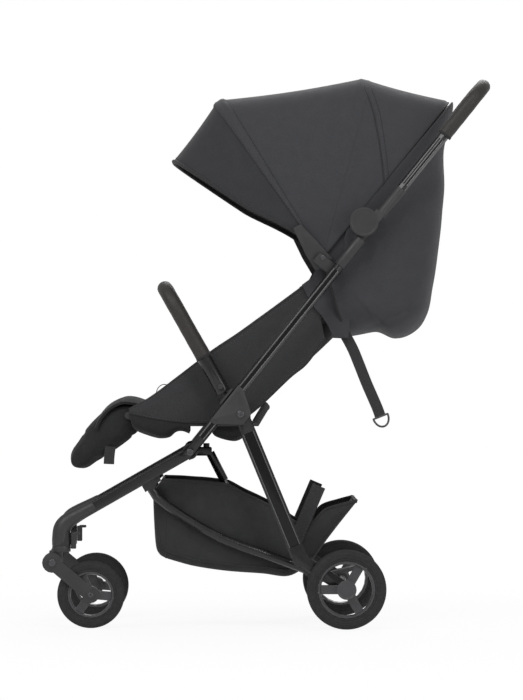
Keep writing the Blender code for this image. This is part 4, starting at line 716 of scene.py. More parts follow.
for side_name, side in SIDES:
    bpy.ops.mesh.primitive_cube_add(size=1.0)
    inlay = bpy.context.object
    inlay.scale = (INLAY_DEPTH, INLAY_LENGTH, INLAY_WIDTH)
    inlay.rotation_euler = (LEG_ANGLE, 0, 0)
    inlay.location = on_leg(side * (LEG_OUTER_X - INLAY_DEPTH / 2), INLAY_MIDDLE)
    settle(inlay, "leg_inlay")
    rounded(inlay, 0.0005, 3)
    finish(inlay, "rear_leg_inlay_" + side_name, "rear_legs", gloss_black, "black_plastic")
    # Each edge of the inlay gets a thin raised line in lighter grey, a painted highlight.
    for edge_name, shift in (("front", -1), ("back", 1)):
        aside = shift * (INLAY_WIDTH / 2 + LEG_EDGE_RADIUS)
        first, last = (on_leg(side * LEG_OUTER_X, share, aside) for share in LEG_EDGE_SHARES)
        bpy.ops.mesh.primitive_cylinder_add(vertices=12, radius=LEG_EDGE_RADIUS, depth=(last - first).length)
        line = bpy.context.object
        turn = (last - first).to_track_quat("Z", "Y").to_matrix().to_4x4()
        line.matrix_world = Matrix.Translation((first + last) / 2) @ turn
        finish(line, f"rear_leg_{edge_name}_edge_{side_name}", "rear_legs", painted_highlight_grey, "frame_metal")
print("caps and inlays made")

# %% [markdown]
# Cloth is made here in three ways. A sheet is a fine grid whose points are put on a curved
# surface, then given a thickness. A ribbon or a binding follows a route. A padded piece
# starts from its plain solid and is blown up by Cloth.


# %% Sheets, ribbons, bindings and stitches
def along_curve(corners, share):
    """A point on the smooth open curve through corners, at 0 to 1 of the way."""
    count = len(corners) - 1
    spot = min(max(share, 0.0), 1.0) * count
    index = min(int(spot), count - 1)
    step = spot - index
    b, c = Vector(corners[index]), Vector(corners[index + 1])
    a = Vector(corners[index - 1]) if index else 2 * b - c
    d = Vector(corners[index + 2]) if index + 2 <= count else 2 * c - b
    return (2 * b + (c - a) * step + (2 * a - 5 * b + 4 * c - d) * step ** 2
            + (3 * b - a - 3 * c + d) * step ** 3) / 2


def grid_sheet(across, down, surface, thickness):
    """A cloth whose middle is a surface of (u, v), each from -1 to 1."""
    bpy.ops.mesh.primitive_grid_add(x_subdivisions=across, y_subdivisions=down, size=2.0)
    piece = bpy.context.object
    for corner in piece.data.vertices:
        corner.co = surface(corner.co.x, corner.co.y)
    weld(piece, SAME_POINT)
    modified(piece, "SOLIDIFY", thickness=thickness, offset=0.0, use_even_offset=True)
    return shaded(piece, 48)


def swept(route, radius, closed=False, resolution=5):
    """A round tube or binding along a route, as a mesh with closed ends."""
    bpy.ops.curve.primitive_bezier_curve_add()
    piece = bpy.context.object
    piece.data.splines.clear()
    spline = piece.data.splines.new("POLY")
    spline.points.add(len(route) - 1)
    for point, place in zip(spline.points, route):
        point.co = (*place, 1.0)
    spline.use_cyclic_u = closed
    piece.data.dimensions = "3D"
    piece.data.twist_mode = "MINIMUM"
    piece.data.bevel_depth = radius
    piece.data.bevel_resolution = resolution
    piece.data.use_fill_caps = not closed
    choose(piece)
    bpy.ops.object.convert(target="MESH")
    return shaded(weld(piece, SAME_POINT), 40)


def ribbon(route, width, thickness, sideways=Vector((1.0, 0.0, 0.0))):
    """A flat strap along a route, with its width along one direction."""
    count = len(route) - 1

    def surface(u, v):
        return Vector(route[round((v + 1) / 2 * count)]) + sideways * (u * width / 2)

    return rounded(grid_sheet(4, count, surface, thickness), thickness * 0.3, 2, radians(50))


STITCH_FACES = ((2, 0, 4), (1, 2, 4), (3, 1, 4), (0, 3, 4), (0, 2, 5), (2, 1, 5), (1, 3, 5), (3, 0, 5))


def stitches(routes, outward, pitch=0.0062, length=0.0038, width=0.0010):
    """Rows of small raised stitches along routes, in one mesh."""
    points = []
    faces = []
    for route in routes:
        carried = pitch / 2
        for first, second in zip(route, route[1:]):
            run = Vector(second) - Vector(first)
            if run.length < SAME_POINT:
                continue
            onward = run.normalized()
            up = outward(Vector(first)).normalized()
            beside = onward.cross(up).normalized()
            while carried < run.length:
                middle = Vector(first) + onward * carried
                base = len(points)
                points += [
                    middle - onward * length / 2, middle + onward * length / 2,
                    middle - beside * width / 2, middle + beside * width / 2,
                    middle + up * width * 0.55, middle - up * width * 0.45,
                ]
                faces += [(base + a, base + b, base + c) for a, b, c in STITCH_FACES]
                carried += pitch
            carried -= run.length
    return mesh_piece("stitches", points, faces)


def trim(route, radius, name, body, paint=binding_tape):
    """A seam, piping or binding along a route."""
    return finish(swept(route, radius), name, body, paint, "webbing")


def sewn(routes, outward, name, body, *sizes):
    """Rows of stitches in thread. Sizes are the pitch and the length of a stitch."""
    return finish(stitches(routes, outward, *sizes), name, body, thread_finish, "webbing")


def sideways_out(place):
    """The way out of a piece on one side of the stroller."""
    return Vector((place.x, 0, 0))


def halved(low, high, before):
    """The place between low and high up to which something holds, found by halving."""
    for _ in range(30):
        middle = (low + high) / 2
        if before(middle):
            low = middle
        else:
            high = middle
    return (low + high) / 2


def bell(distance, width):
    """A smooth bump: one at no distance, and near nothing at twice its width."""
    return 2.718 ** (-(distance / width) ** 2)


# %% [markdown]
# The hood is cloth pulled tight over three bows and a wired visor edge. All of them turn
# about one hinge near the seat, so the cloth is drawn in angles about that hinge. Between
# two bows it runs nearly straight and dips a little.

# %% Hood cloth
HOOD_HINGE = (0.10646, 0.69947)
REAR, MIDDLE, FRONT, VISOR = (radians(degree) for degree in (50.6, 76.3, 123.1, 146.5))
REAR_REACH, MIDDLE_REACH, FRONT_REACH, VISOR_REACH = 0.3830, 0.3500, 0.3555, 0.3360
FRONT_HALF, MIDDLE_HALF, REAR_HALF = 0.1760, 0.1805, 0.1850
CLOTH_CLEAR = 0.0042
BOW_FLAT = 0.0206
HOOD_SAG = 0.016
HOOD_THICKNESS = 0.0022
CLOTH_TURN = radians(88)
VISOR_CLOSES = radians(62)
BOW_ROUNDNESS = 4.0
SEAM_GAP = radians(0.3)


def arch(angle, turn, reach, half_spread):
    """A point on a rounded square bow that stands on the hood hinge."""
    size = (abs(sin(turn)) ** BOW_ROUNDNESS + abs(cos(turn)) ** BOW_ROUNDNESS) ** (-1 / BOW_ROUNDNESS)
    return at(half_spread * size * sin(turn), ahead(HOOD_HINGE, angle, reach * size * cos(turn)))


HOOD_BOWS = []
for angle, reach, half in ((REAR, REAR_REACH, REAR_HALF), (MIDDLE, MIDDLE_REACH, MIDDLE_HALF),
                           (FRONT, FRONT_REACH, FRONT_HALF)):
    for shift in (-BOW_FLAT, BOW_FLAT):
        HOOD_BOWS.append((angle + shift, reach + CLOTH_CLEAR, half + CLOTH_CLEAR))
HOOD_BOWS.append((VISOR, VISOR_REACH + CLOTH_CLEAR, FRONT_HALF + CLOTH_CLEAR))


def stretched(angle):
    """Reach and half width of the cloth between the bows, at an angle about the hinge."""
    for (first, reach0, half0), (second, reach1, half1) in zip(HOOD_BOWS, HOOD_BOWS[1:]):
        if angle <= second:
            break
    share = (angle - first) / (second - first)
    straight = reach0 * reach1 * sin(second - first) / (
        reach0 * sin(angle - first) + reach1 * sin(second - angle))
    dip = HOOD_SAG * 4 * share * (1 - share) * (second - first)
    return straight * (1 - dip), half0 + (half1 - half0) * share


def hood_point(angle, turn, proud=0.0):
    """A point on the hood cloth. Low on the sides the visor closes in on the front bow."""
    reach, half = stretched(angle)
    if angle > FRONT:
        low = max(0.0, (abs(turn) - VISOR_CLOSES) / (CLOTH_TURN - VISOR_CLOSES))
        angle -= (angle - FRONT) * 0.88 * low ** 1.6
    return arch(angle, turn, reach + proud, half + proud)


def hood_panel(start, end, rows, name, follows, paint, *stands_for):
    """One panel of the hood, between two angles."""
    def surface(u, v):
        return hood_point(start + (end - start) * (v + 1) / 2, u * CLOTH_TURN)

    piece = grid_sheet(72, rows, surface, HOOD_THICKNESS)
    return finish(piece, name, follows, paint, "hood_fabric", *stands_for)


def bow_top(angle, reach):
    """The highest point of a bow, in the middle of the hood."""
    return tuple(at(0.0, ahead(HOOD_HINGE, angle, reach)))


FOLD_REACH = 0.160
REAR_FOLLOWS = ("frame", "hood_mid", bow_top(REAR, FOLD_REACH), bow_top(MIDDLE, FOLD_REACH))
FRONT_FOLLOWS = ("hood_mid", "hood_front", bow_top(MIDDLE, FOLD_REACH), bow_top(FRONT, FOLD_REACH))
hood_panel(MIDDLE + SEAM_GAP, FRONT, 30, "hood_front_panel", FRONT_FOLLOWS, hood_cloth, "hood_front_cloth")
hood_panel(FRONT + 0.002, VISOR, 18, "hood_visor_panel", "hood_front", channel_cloth)
hood_panel(REAR + SEAM_GAP, MIDDLE - SEAM_GAP, 22, "hood_rear_panel", REAR_FOLLOWS, hood_cloth,
           "hood_rear_cloth")
print("hood panels made")

# %% [markdown]
# Each bow hides in a sewn channel, a strip of the same cloth that stands a little proud,
# with a row of stitches along both edges. The visor has a turned and bound edge.


# %% Hood channels, edge binding and stitches
def bow_channel(name, angle, width, proud, body, paint):
    """A raised strip over a bow."""
    def surface(u, v):
        edge = 1 - abs(v) ** 6
        lean = v * width / 2 / MIDDLE_REACH
        return hood_point(min(angle + lean, VISOR), u * CLOTH_TURN, 0.0009 + proud * edge)

    piece = grid_sheet(72, 8, surface, 0.0010)
    return finish(piece, name, body, paint, "hood_fabric")


def arch_route(angle, proud, steps=90):
    """The route of a seam over the hood, from one side to the other."""
    return [hood_point(angle, CLOTH_TURN * (2 * step / steps - 1), proud) for step in range(steps + 1)]


def away_from_hood(place):
    """The way out of the hood cloth at a place."""
    return Vector((place.x, 0.6 * (place.y - HOOD_HINGE[0]), 0.6 * (place.z - HOOD_HINGE[1])))


FRONT_CHANNEL = 0.0240
MIDDLE_CHANNEL = 0.0220
STITCH_INSET = 0.0016
bow_channel("front_bow_channel", FRONT, FRONT_CHANNEL, 0.0030, "hood_front", hood_cloth)
bow_channel("middle_bow_cover", MIDDLE, MIDDLE_CHANNEL, 0.0004, "hood_mid", hood_cloth)
lean = (FRONT_CHANNEL / 2 - STITCH_INSET) / MIDDLE_REACH
sewn([arch_route(FRONT - lean, 0.0038), arch_route(FRONT + lean, 0.0038)], away_from_hood,
     "front_channel_stitches", "hood_front")
for edge_name, shift in (("rear", -1), ("front", 1)):
    route = arch_route(FRONT + shift * FRONT_CHANNEL / 2 / MIDDLE_REACH, 0.0006)
    trim(route, 0.0016, f"front_channel_{edge_name}_seam", "hood_front")

# The seam of the rear panel leaves the middle bow at the top and drops to the side tubes.
SEAM_PLACES = (
    (0.1843, 1.0302), (0.1925, 1.0097), (0.2027, 0.9769), (0.2089, 0.9441),
    (0.2138, 0.9154), (0.2171, 0.8908), (0.2203, 0.8621), (0.2216, 0.8437),
)


def hood_turn(angle, distance):
    """How far round a bow the hood cloth is at a distance from the hinge."""
    def further(turn):
        place = hood_point(angle, turn)
        return hypot(place.y - HOOD_HINGE[0], place.z - HOOD_HINGE[1]) > distance

    return halved(0.0, CLOTH_TURN, further)


def falling_seam(ahead_by, proud, steps=40):
    """The route of the rear seam over the hood, some degrees behind it."""
    half = []
    for step in range(steps + 1):
        place = along_curve(SEAM_PLACES, step / steps)
        dy, dz = place.x - HOOD_HINGE[0], place.y - HOOD_HINGE[1]
        angle = min(atan2(dz, dy), MIDDLE - SEAM_GAP)
        half.append((max(angle - radians(ahead_by), REAR + SEAM_GAP), hood_turn(angle, hypot(dy, dz))))
    across = [hood_point(angle, -turn, proud) for angle, turn in reversed(half)]
    return across + [hood_point(angle, turn, proud) for angle, turn in half]


trim(falling_seam(0.0, 0.0008), 0.0017, "falling_seam_piping", REAR_FOLLOWS)
sewn([falling_seam(1.2, 0.0012)], away_from_hood, "falling_seam_stitches", REAR_FOLLOWS)
trim(falling_seam(2.6, 0.0004), 0.0012, "falling_seam_fold", REAR_FOLLOWS, channel_cloth)
trim(arch_route(VISOR - 0.002, 0.0006), 0.0034, "visor_edge_binding", "hood_front")
sewn([arch_route(VISOR - 0.026, 0.0014)], away_from_hood, "visor_edge_stitches", "hood_front")
trim(arch_route(REAR + 0.006, 0.0006), 0.0018, "rear_seam_piping", "frame")
print("hood channels sewn")

# %% [markdown]
# The back panel hangs from the rear bow behind the seat and closes under the backrest. Its
# weight pulls it into a deep fold near the bottom, where the cloth doubles over, and into
# soft folds below the tube.

# %% Back panel
BACK_KNOTS = (
    (-74.0, 0.1590), (-67.0, 0.1580), (-52.0, 0.1749), (-46.0, 0.2093), (-36.5, 0.2264),
    (-27.1, 0.2272), (-13.2, 0.2192), (3.7, 0.2239), (18.8, 0.2437), (29.6, 0.2707),
    (41.7, 0.3140), (49.3, 0.3872), (50.3, 0.3872),
)
FOLD_START = (0.1900, 0.5660)
FOLD_END = (0.3080, 0.6200)
FOLD_BULGE, FOLD_CREASE, FOLD_WIDTH = 0.0115, 0.0110, 0.013
BACK_TURN = radians(80)
BACK_FOLLOWS = ("frame", "backrest", (0.0, 0.300, 0.860), (0.0, 0.240, 0.560))


def fold_depth(place):
    """How far the deep fold pushes the cloth out at a (y, z) place."""
    run = Vector(FOLD_END) - Vector(FOLD_START)
    offset = Vector((place[0], place[1])) - Vector(FOLD_START)
    share = offset.dot(run) / run.length_squared
    above = (run.x * offset.y - run.y * offset.x) / run.length
    fade = max(0.0, 1 - (2 * share - 1.15) ** 2 / 1.9)
    return fade * (FOLD_BULGE * bell(above + FOLD_WIDTH, FOLD_WIDTH) - FOLD_CREASE * bell(above, 0.0042))


def back_surface(u, v):
    """The back panel: the arch at a smooth angle and reach, with its folds."""
    share = (v + 1) / 2
    degree, reach = along_curve(BACK_KNOTS, share)
    place = arch(radians(degree), u * BACK_TURN, reach, REAR_HALF + CLOTH_CLEAR)
    side = abs(sin(u * BACK_TURN)) ** 3
    lower = max(0.0, 1 - share * 1.4)
    drape = 0.0035 * sin(place.y * 70 + place.z * 24) * side * (0.25 + lower)
    ripple = 0.0022 * sin(u * 15 + place.z * 9) * (1 - side) * lower
    push = fold_depth((place.y, place.z)) * side + drape
    return place + Vector((push if u > 0 else -push, ripple, 0.0))


back_panel = grid_sheet(96, 96, back_surface, HOOD_THICKNESS)
finish(back_panel, "back_panel_cloth", BACK_FOLLOWS, hood_cloth, "hood_fabric", "back_panel")
hem = [back_surface(2 * step / 120 - 1, -0.985) for step in range(121)]
trim(hem, 0.0024, "back_panel_hem", BACK_FOLLOWS)
print("back panel hung")

# %% [markdown]
# The seat hangs between the side tubes as a sling. Its side is one taut cloth from the
# front edge up to the hood hinge, bound along the top and seamed along the bottom. Small
# gussets close the corners between the hood, the back panel and the seat.

# %% Seat sides
WING_TOP = (
    (-0.2600, 0.4125), (-0.2180, 0.4357), (-0.1600, 0.4790), (-0.1027, 0.5228), (-0.0560, 0.5540),
    (-0.0120, 0.5855), (0.0360, 0.6205), (0.0880, 0.6590),
)
WING_FOOT = (
    (-0.2596, 0.4067), (-0.2071, 0.3954), (-0.1462, 0.3885), (-0.0850, 0.3900), (-0.0332, 0.4026),
    (0.0440, 0.4729), (0.0765, 0.5001), (0.1110, 0.5470),
)
WING_X = 0.1575
WING_BULGE = 0.0060
WING_FOLLOWS = ("frame", "backrest", (0.0, -0.030, 0.417), (0.0, 0.050, 0.520))


def wing_surface(side):
    """The cloth of one seat side, from its foot to its top edge."""
    def surface(u, v):
        along, up = (u + 1) / 2, (v + 1) / 2
        top = along_curve(WING_TOP, along)
        foot = along_curve(WING_FOOT, along)
        y, z = foot.lerp(top, up)
        swell = WING_BULGE * sin(pi * up) ** 0.7 * sin(pi * min(max(along, 0.02), 0.98)) ** 0.5
        pull = 0.0008 * sin(z * 90 - y * 60) * sin(pi * up)
        return at(side * (WING_X + swell + pull), (y, z))
    return surface


def wing_route(surface, row, out=0.0):
    """A line along a seat side at a height from -1 to 1, lifted a little off the cloth."""
    return [surface(2 * step / 80 - 1, row) + Vector((out, 0, 0)) for step in range(81)]


for side_name, side in SIDES:
    surface = wing_surface(side)
    finish(grid_sheet(72, 30, surface, 0.0024), "seat_side_" + side_name, WING_FOLLOWS, seat_cloth,
           "seat_fabric", "side_wing_" + side_name)
    trim(wing_route(surface, 1.0), 0.0026, "seat_side_binding_" + side_name, WING_FOLLOWS)
    trim(wing_route(surface, -1.0), 0.0020, "seat_side_seam_" + side_name, WING_FOLLOWS)
    sewn([wing_route(surface, row, side * 0.0014) for row in (0.90, -0.93)], sideways_out,
         "seat_side_stitches_" + side_name, WING_FOLLOWS)

GUSSETS = (
    ("hood_gusset", 0.1835, "frame", (
        (0.1043, 0.7064), (0.1269, 0.7432), (0.1547, 0.7719), (0.1822, 0.7432), (0.1597, 0.7187),
        (0.1425, 0.6838), (0.1228, 0.6736), (0.1043, 0.6838),
    )),
    ("back_gusset", 0.1660, BACK_FOLLOWS, (
        (0.0674, 0.6490), (0.0859, 0.6625), (0.0924, 0.6756), (0.1228, 0.6900), (0.1474, 0.7268),
        (0.1617, 0.6941), (0.1597, 0.6039), (0.1556, 0.5486), (0.1269, 0.5498), (0.1179, 0.5703),
        (0.1056, 0.5895), (0.0924, 0.6047), (0.0818, 0.6203),
    )),
)
for name, x, follows, corners in GUSSETS:
    for side_name, side in SIDES:
        gusset = mesh_piece(name, [at(side * x, corner) for corner in corners], [tuple(range(len(corners)))])
        modified(gusset, "SOLIDIFY", thickness=0.0020)
        finish(gusset, f"{name}_{side_name}", follows, hood_cloth, "hood_fabric")
print("seat sides made")

# %% [markdown]
# Under the seat board the sling cloth hangs in two shallow pouches. Each is drawn as a row
# of U sections, as deep at each place as the photograph shows. Another sheet covers the
# knee, where the seat turns down into the footrest.

# %% Seat pouches and knee cloth
POUCH_LOW = (
    (-0.2592, 0.4040), (-0.2550, 0.3850), (-0.2480, 0.3735), (-0.2247, 0.3640), (-0.2020, 0.3572),
    (-0.1844, 0.3587), (-0.1721, 0.3700), (-0.1600, 0.3720), (-0.1462, 0.3667),
)
POUCH_TOP = ((-0.2594, 0.4062), (-0.2500, 0.4040), (-0.2071, 0.3945), (-0.1750, 0.3900), (-0.1462, 0.3875))
REAR_POUCH_LOW = (
    (-0.1080, 0.3860), (-0.1010, 0.3660), (-0.0900, 0.3585), (-0.0700, 0.3530), (-0.0560, 0.3525),
    (-0.0440, 0.3590), (-0.0370, 0.3720), (-0.0345, 0.3900),
)
REAR_POUCH_TOP = ((-0.1082, 0.3870), (-0.0900, 0.3890), (-0.0600, 0.3950), (-0.0340, 0.4010))
POUCHES = (
    ("seat_pouch", POUCH_LOW, POUCH_TOP, 0.1562, 0.004, 48, 30),
    ("seat_rear_pouch", REAR_POUCH_LOW, REAR_POUCH_TOP, 0.1400, 0.0, 44, 24),
)
POUCH_ROUNDNESS = 0.34


def pouch_surface(low_line, top_line, half, wrinkle):
    """The cloth that hangs in a U between its top line on one side and on the other."""
    def surface(u, v):
        share = (v + 1) / 2
        low = along_curve(low_line, share)
        top = along_curve(top_line, share)
        turn = u * pi / 2
        drop = abs(cos(turn)) ** POUCH_ROUNDNESS
        sag = wrinkle * cos(turn) ** 2 * sin(pi * share) * sin(12 * share + 5 * u)
        across = abs(sin(turn)) ** POUCH_ROUNDNESS * (1 if sin(turn) > 0 else -1)
        return at(half * across, (low.x * drop + top.x * (1 - drop),
                                  low.y * drop + top.y * (1 - drop) + 0.3 * sag))

    return surface


for name, low_line, top_line, half, wrinkle, across, down in POUCHES:
    pouch = grid_sheet(across, down, pouch_surface(low_line, top_line, half, wrinkle), 0.0020)
    finish(pouch, name, "frame", pad_cloth, "seat_fabric")

KNEE_LINE = (
    (-0.2130, 0.4185), (-0.2260, 0.4245), (-0.2420, 0.4295), (-0.2600, 0.4330), (-0.2760, 0.4318),
    (-0.2960, 0.4205), (-0.3100, 0.4070), (-0.3180, 0.3960), (-0.3230, 0.3840),
)
KNEE_HALF = 0.1420
KNEE_FOLLOWS = ("frame", "footrest", (0.0, -0.240, 0.430), (0.0, -0.290, 0.418))


def knee_surface(u, v):
    """The padded cloth over the front edge of the seat, drawn in at its sides."""
    y, z = along_curve(KNEE_LINE, (v + 1) / 2)
    drawn = 1 - 0.03 * sin(pi * (v + 1) / 2)
    round_down = 0.0075 * abs(u) ** 6
    dimple = 0.0012 * sin(u * 11) * sin(v * 5)
    return at(u * KNEE_HALF * drawn, (y, z - round_down - dimple))


finish(grid_sheet(40, 24, knee_surface, 0.0050), "knee_cloth", KNEE_FOLLOWS, pad_cloth, "seat_fabric")
print("pouches and knee made")

# %% [markdown]
# The seat pad, the backrest and the footrest are stuffed. Each starts from its plain solid,
# is remeshed into even small faces, and is then inflated by Cloth with gravity off. No point
# may travel further than a few millimetres, so the pad keeps its place. Quilting lines come
# after it, because the remesh would wipe them out.


# %% Stuffed pads
VOXEL = 0.0050
PAD_PRESSURE = 4.0
PAD_SLACK = 0.25
PAD_FRAMES = 20
TRIM_SHARE = 0.85


def puffed(source_name, cap):
    """A copy of a pad's solid, remeshed evenly and blown up by Cloth."""
    pad = weld(twin(nodes[source_name]))
    modified(pad, "REMESH", mode="VOXEL", voxel_size=VOXEL)
    for corner, normal in [(corner, corner.normal.copy()) for corner in pad.data.vertices]:
        corner.co -= normal * cap * PAD_SLACK
    start = [corner.co.copy() for corner in pad.data.vertices]
    cloth = pad.modifiers.new("stuffing", "CLOTH")
    cloth.settings.use_pressure = True
    cloth.settings.uniform_pressure_force = PAD_PRESSURE
    cloth.settings.effector_weights.gravity = 0.0
    cloth.settings.quality = 5
    for step in range(1, PAD_FRAMES + 1):
        scene.frame_set(step)
    bpy.ops.object.modifier_apply(modifier=cloth.name)
    scene.frame_set(1)
    for corner, rest in zip(pad.data.vertices, start):
        moved = corner.co - rest
        if moved.length > cap:
            corner.co = rest + moved * (cap / moved.length)
    modified(pad, "SUBSURF", levels=1, render_levels=1)
    bpy.ops.object.shade_smooth()
    return pad


def drawn_in(pad, start, end):
    """Draws a pad in to a line seen from the side, where a sling holds its lower end up."""
    run = (Vector(end) - Vector(start)).normalized()
    out = Vector((run.y, -run.x))
    for corner in pad.data.vertices:
        beyond = (Vector((corner.co.y, corner.co.z)) - Vector(start)).dot(out)
        if beyond > 0:
            corner.co.y -= out.x * beyond * TRIM_SHARE
            corner.co.z -= out.y * beyond * TRIM_SHARE


def quilt(pad, origin, angle, lines, half_width):
    """Presses sewn lines into a pad: across it at distances from an origin, and along its edges."""
    run = Vector((cos(angle), sin(angle)))
    inner = half_width - PAD_EDGE
    pressed = []
    for corner in pad.data.vertices:
        along = (Vector((corner.co.y, corner.co.z)) - Vector(origin)).dot(run)
        push = 0.0
        if abs(corner.co.x) < inner:
            for line in lines:
                push += QUILT_DEPTH * bell(along - line, QUILT_WIDTH)
        push += QUILT_DEPTH * 0.8 * bell(abs(corner.co.x) - half_width + PAD_EDGE, QUILT_WIDTH)
        pressed.append(corner.co - corner.normal * min(push, QUILT_DEPTH))
    for corner, place in zip(pad.data.vertices, pressed):
        corner.co = place


def quilt_stitches(pad, origin, angle, lines, aside, half_width):
    """Rows of stitches that lie in the sewn lines of a pad, on the side that aside names."""
    out = at(0.0, (-sin(angle) * aside, cos(angle) * aside))
    inner = half_width - PAD_EDGE
    first, last = min(lines) - 0.045, max(lines) + 0.045
    seams = [[(inner * (2 * step / 60 - 1), line) for step in range(61)] for line in lines]
    seams += [[(side * inner, first + (last - first) * step / 60) for step in range(61)] for side in (-1, 1)]
    rows = []
    for seam in seams:
        hits = [pad.ray_cast(at(x, ahead(origin, angle, along, 0.08 * aside)), -out) for x, along in seam]
        rows.append([place + out * 0.0002 for hit, place, normal, index in hits if hit])
    return [row for row in rows if len(row) > 1], out


SEAT_PIVOT = (-0.1245, 0.4030)
BACK_PIVOT = (0.0, 0.41715)
FOOT_PIVOT = (-0.2620, 0.40085)
FOOT_ANGLE = radians(222)
MAIN_ANGLE = radians(51.25)
PADS = (
    ("seat_cushion", "seat_pad", "frame", SEAT_PIVOT, 0.0, (-0.0338, 0.0338), 0.155, 1, 0.0050),
    ("backrest", "back_pad", "backrest", BACK_PIVOT, MAIN_ANGLE, (0.1025, 0.205, 0.3075), 0.150, 1, 0.0055),
    ("footrest", "footrest_pad", "footrest", FOOT_PIVOT, FOOT_ANGLE, (0.023, 0.0867), 0.135, -1, 0.0050),
)
PAD_EDGE = 0.028
BACK_LINE_START = (-0.0310, 0.4060)
BACK_LINE_END = (0.0780, 0.5040)
QUILT_DEPTH = 0.0026
QUILT_WIDTH = 0.0046
for source_name, name, body, origin, angle, lines, half_width, aside, cap in PADS:
    pad = puffed(source_name, cap)
    if source_name == "backrest":
        drawn_in(pad, BACK_LINE_START, BACK_LINE_END)
    quilt(pad, origin, angle, lines, half_width)
    bpy.context.view_layer.update()
    rows, out = quilt_stitches(pad, origin, angle, lines, aside, half_width)
    finish(pad, name, body, pad_cloth if name == "footrest_pad" else seat_cloth, "seat_fabric", source_name)
    sewn(rows, lambda place: out, name + "_stitches", body)
    print(name, "has", len(pad.data.polygons), "faces")

# %% [markdown]
# The basket is a bag hung between the two lower rails. It is lofted as one shell: each
# section runs down one side, round a soft corner, across the bottom and up the other side.
# Its bottom sags and its sides belly out a little between the rim and the seam.

# %% Basket
BASKET_LOW = (
    (-0.1960, 0.2788), (-0.2125, 0.2560), (-0.2138, 0.2384), (-0.2118, 0.1900), (-0.2090, 0.1550),
    (-0.2045, 0.1410), (-0.1940, 0.1320), (-0.1700, 0.1240), (-0.1331, 0.1145), (-0.0750, 0.1060),
    (-0.0073, 0.1010), (0.0449, 0.0968), (0.0850, 0.1250), (0.1163, 0.1667), (0.1450, 0.2040),
    (0.1740, 0.2410),
)
BASKET_RIM = (
    (-0.1955, 0.2790), (-0.1900, 0.2786), (-0.1780, 0.2782), (-0.1600, 0.2775), (-0.1400, 0.2760),
    (-0.1180, 0.2747), (-0.0980, 0.2725), (-0.0729, 0.2692), (-0.0420, 0.2530), (-0.0080, 0.2370),
    (0.0280, 0.2180), (0.0600, 0.1960), (0.0880, 0.1990), (0.1120, 0.2215), (0.1440, 0.2320),
    (0.1738, 0.2400),
)
BASKET_HALF = 0.1385
BASKET_CORNER = 0.0160
BASKET_SAG = 0.0035
BASKET_BELLY = 0.0028
BASKET_FLAT, BASKET_ROUND, BASKET_TURNED = 0.36, 0.16, 0.52


def basket_surface(u, v):
    """The basket cloth, from one rim under the bottom to the other rim."""
    share = (v + 1) / 2
    low = along_curve(BASKET_LOW, share)
    rim = along_curve(BASKET_RIM, share)
    rise = rim - low
    height = rise.length
    up = rise.normalized() if height > 1e-5 else Vector((0.0, 1.0))
    corner = min(BASKET_CORNER, height * 0.45)
    reach = abs(u)
    side = 1 if u > 0 else -1
    ripple = 0.0010 * sin(low.x * 75 + 2.0) * sin(pi * share)
    if reach < BASKET_FLAT:
        x = (BASKET_HALF - corner) * reach / BASKET_FLAT
        sag = BASKET_SAG * cos(pi / 2 * x / BASKET_HALF) * sin(pi * share)
        place = low + up * (0.0006 + ripple * (1 - reach / BASKET_FLAT)) - Vector((0.0, sag * 0.3))
        return at(side * x, place)
    if reach < BASKET_TURNED:
        turn = (reach - BASKET_FLAT) / BASKET_ROUND * pi / 2
        x = BASKET_HALF - corner + corner * sin(turn)
        return at(side * x, low + up * corner * (1 - cos(turn)))
    climb = (reach - BASKET_TURNED) / (1 - BASKET_TURNED)
    belly = BASKET_BELLY * sin(pi * climb) * min(1.0, height / 0.06)
    crease = 0.0011 * sin(low.x * 60 + climb * 4) * sin(pi * climb)
    return at(side * (BASKET_HALF + belly + crease), low + up * (corner + (height - corner) * climb))


BASKET_END = 0.985
FRONT_SEAM_Y = -0.1905
STAY_TOP = (0.1005, 0.2675)
STAY_FOOT = (0.0512, 0.1520)
STAY_X = 0.1430
STAY_WIDTH = 0.0258


def basket_route(across, first, last, steps, out):
    """A route along the basket, at a share across it."""
    side = 1 if across > 0 else -1
    return [basket_surface(across, first + (last - first) * step / steps) + Vector((side * out, 0, 0))
            for step in range(steps + 1)]


def seam_place(across):
    """Where the front seam crosses the basket, at a share across it."""
    along = halved(-0.99, 0.4, lambda middle: basket_surface(across, middle).y < FRONT_SEAM_Y)
    return basket_surface(across, along)


basket = grid_sheet(100, 96, basket_surface, 0.0018)
basket_pieces = [finish(basket, "basket_cloth", "lower_rails", basket_cloth, "seat_fabric", "basket")]
for side_name, side in SIDES:
    for name, route, radius in (("basket_rim_", basket_route(side * 1.0, -0.99, 0.99, 100, 0.0), 0.0028),
                                ("basket_seam_", basket_route(side * 0.50, -0.50, 0.50, 60, 0.0014), 0.0013)):
        basket_pieces.append(trim(route, radius, name + side_name, "lower_rails"))
front_seam = [seam_place(step / 60 - 1) for step in range(1, 120)]
basket_pieces.append(trim(front_seam, 0.0016, "basket_front_seam", "lower_rails"))
for name, along in (("basket_rear_edge", BASKET_END), ("basket_front_edge", -BASKET_END)):
    route = [basket_surface(2 * step / 120 - 1, along) for step in range(121)]
    basket_pieces.append(trim(route, 0.0026, name, "lower_rails"))

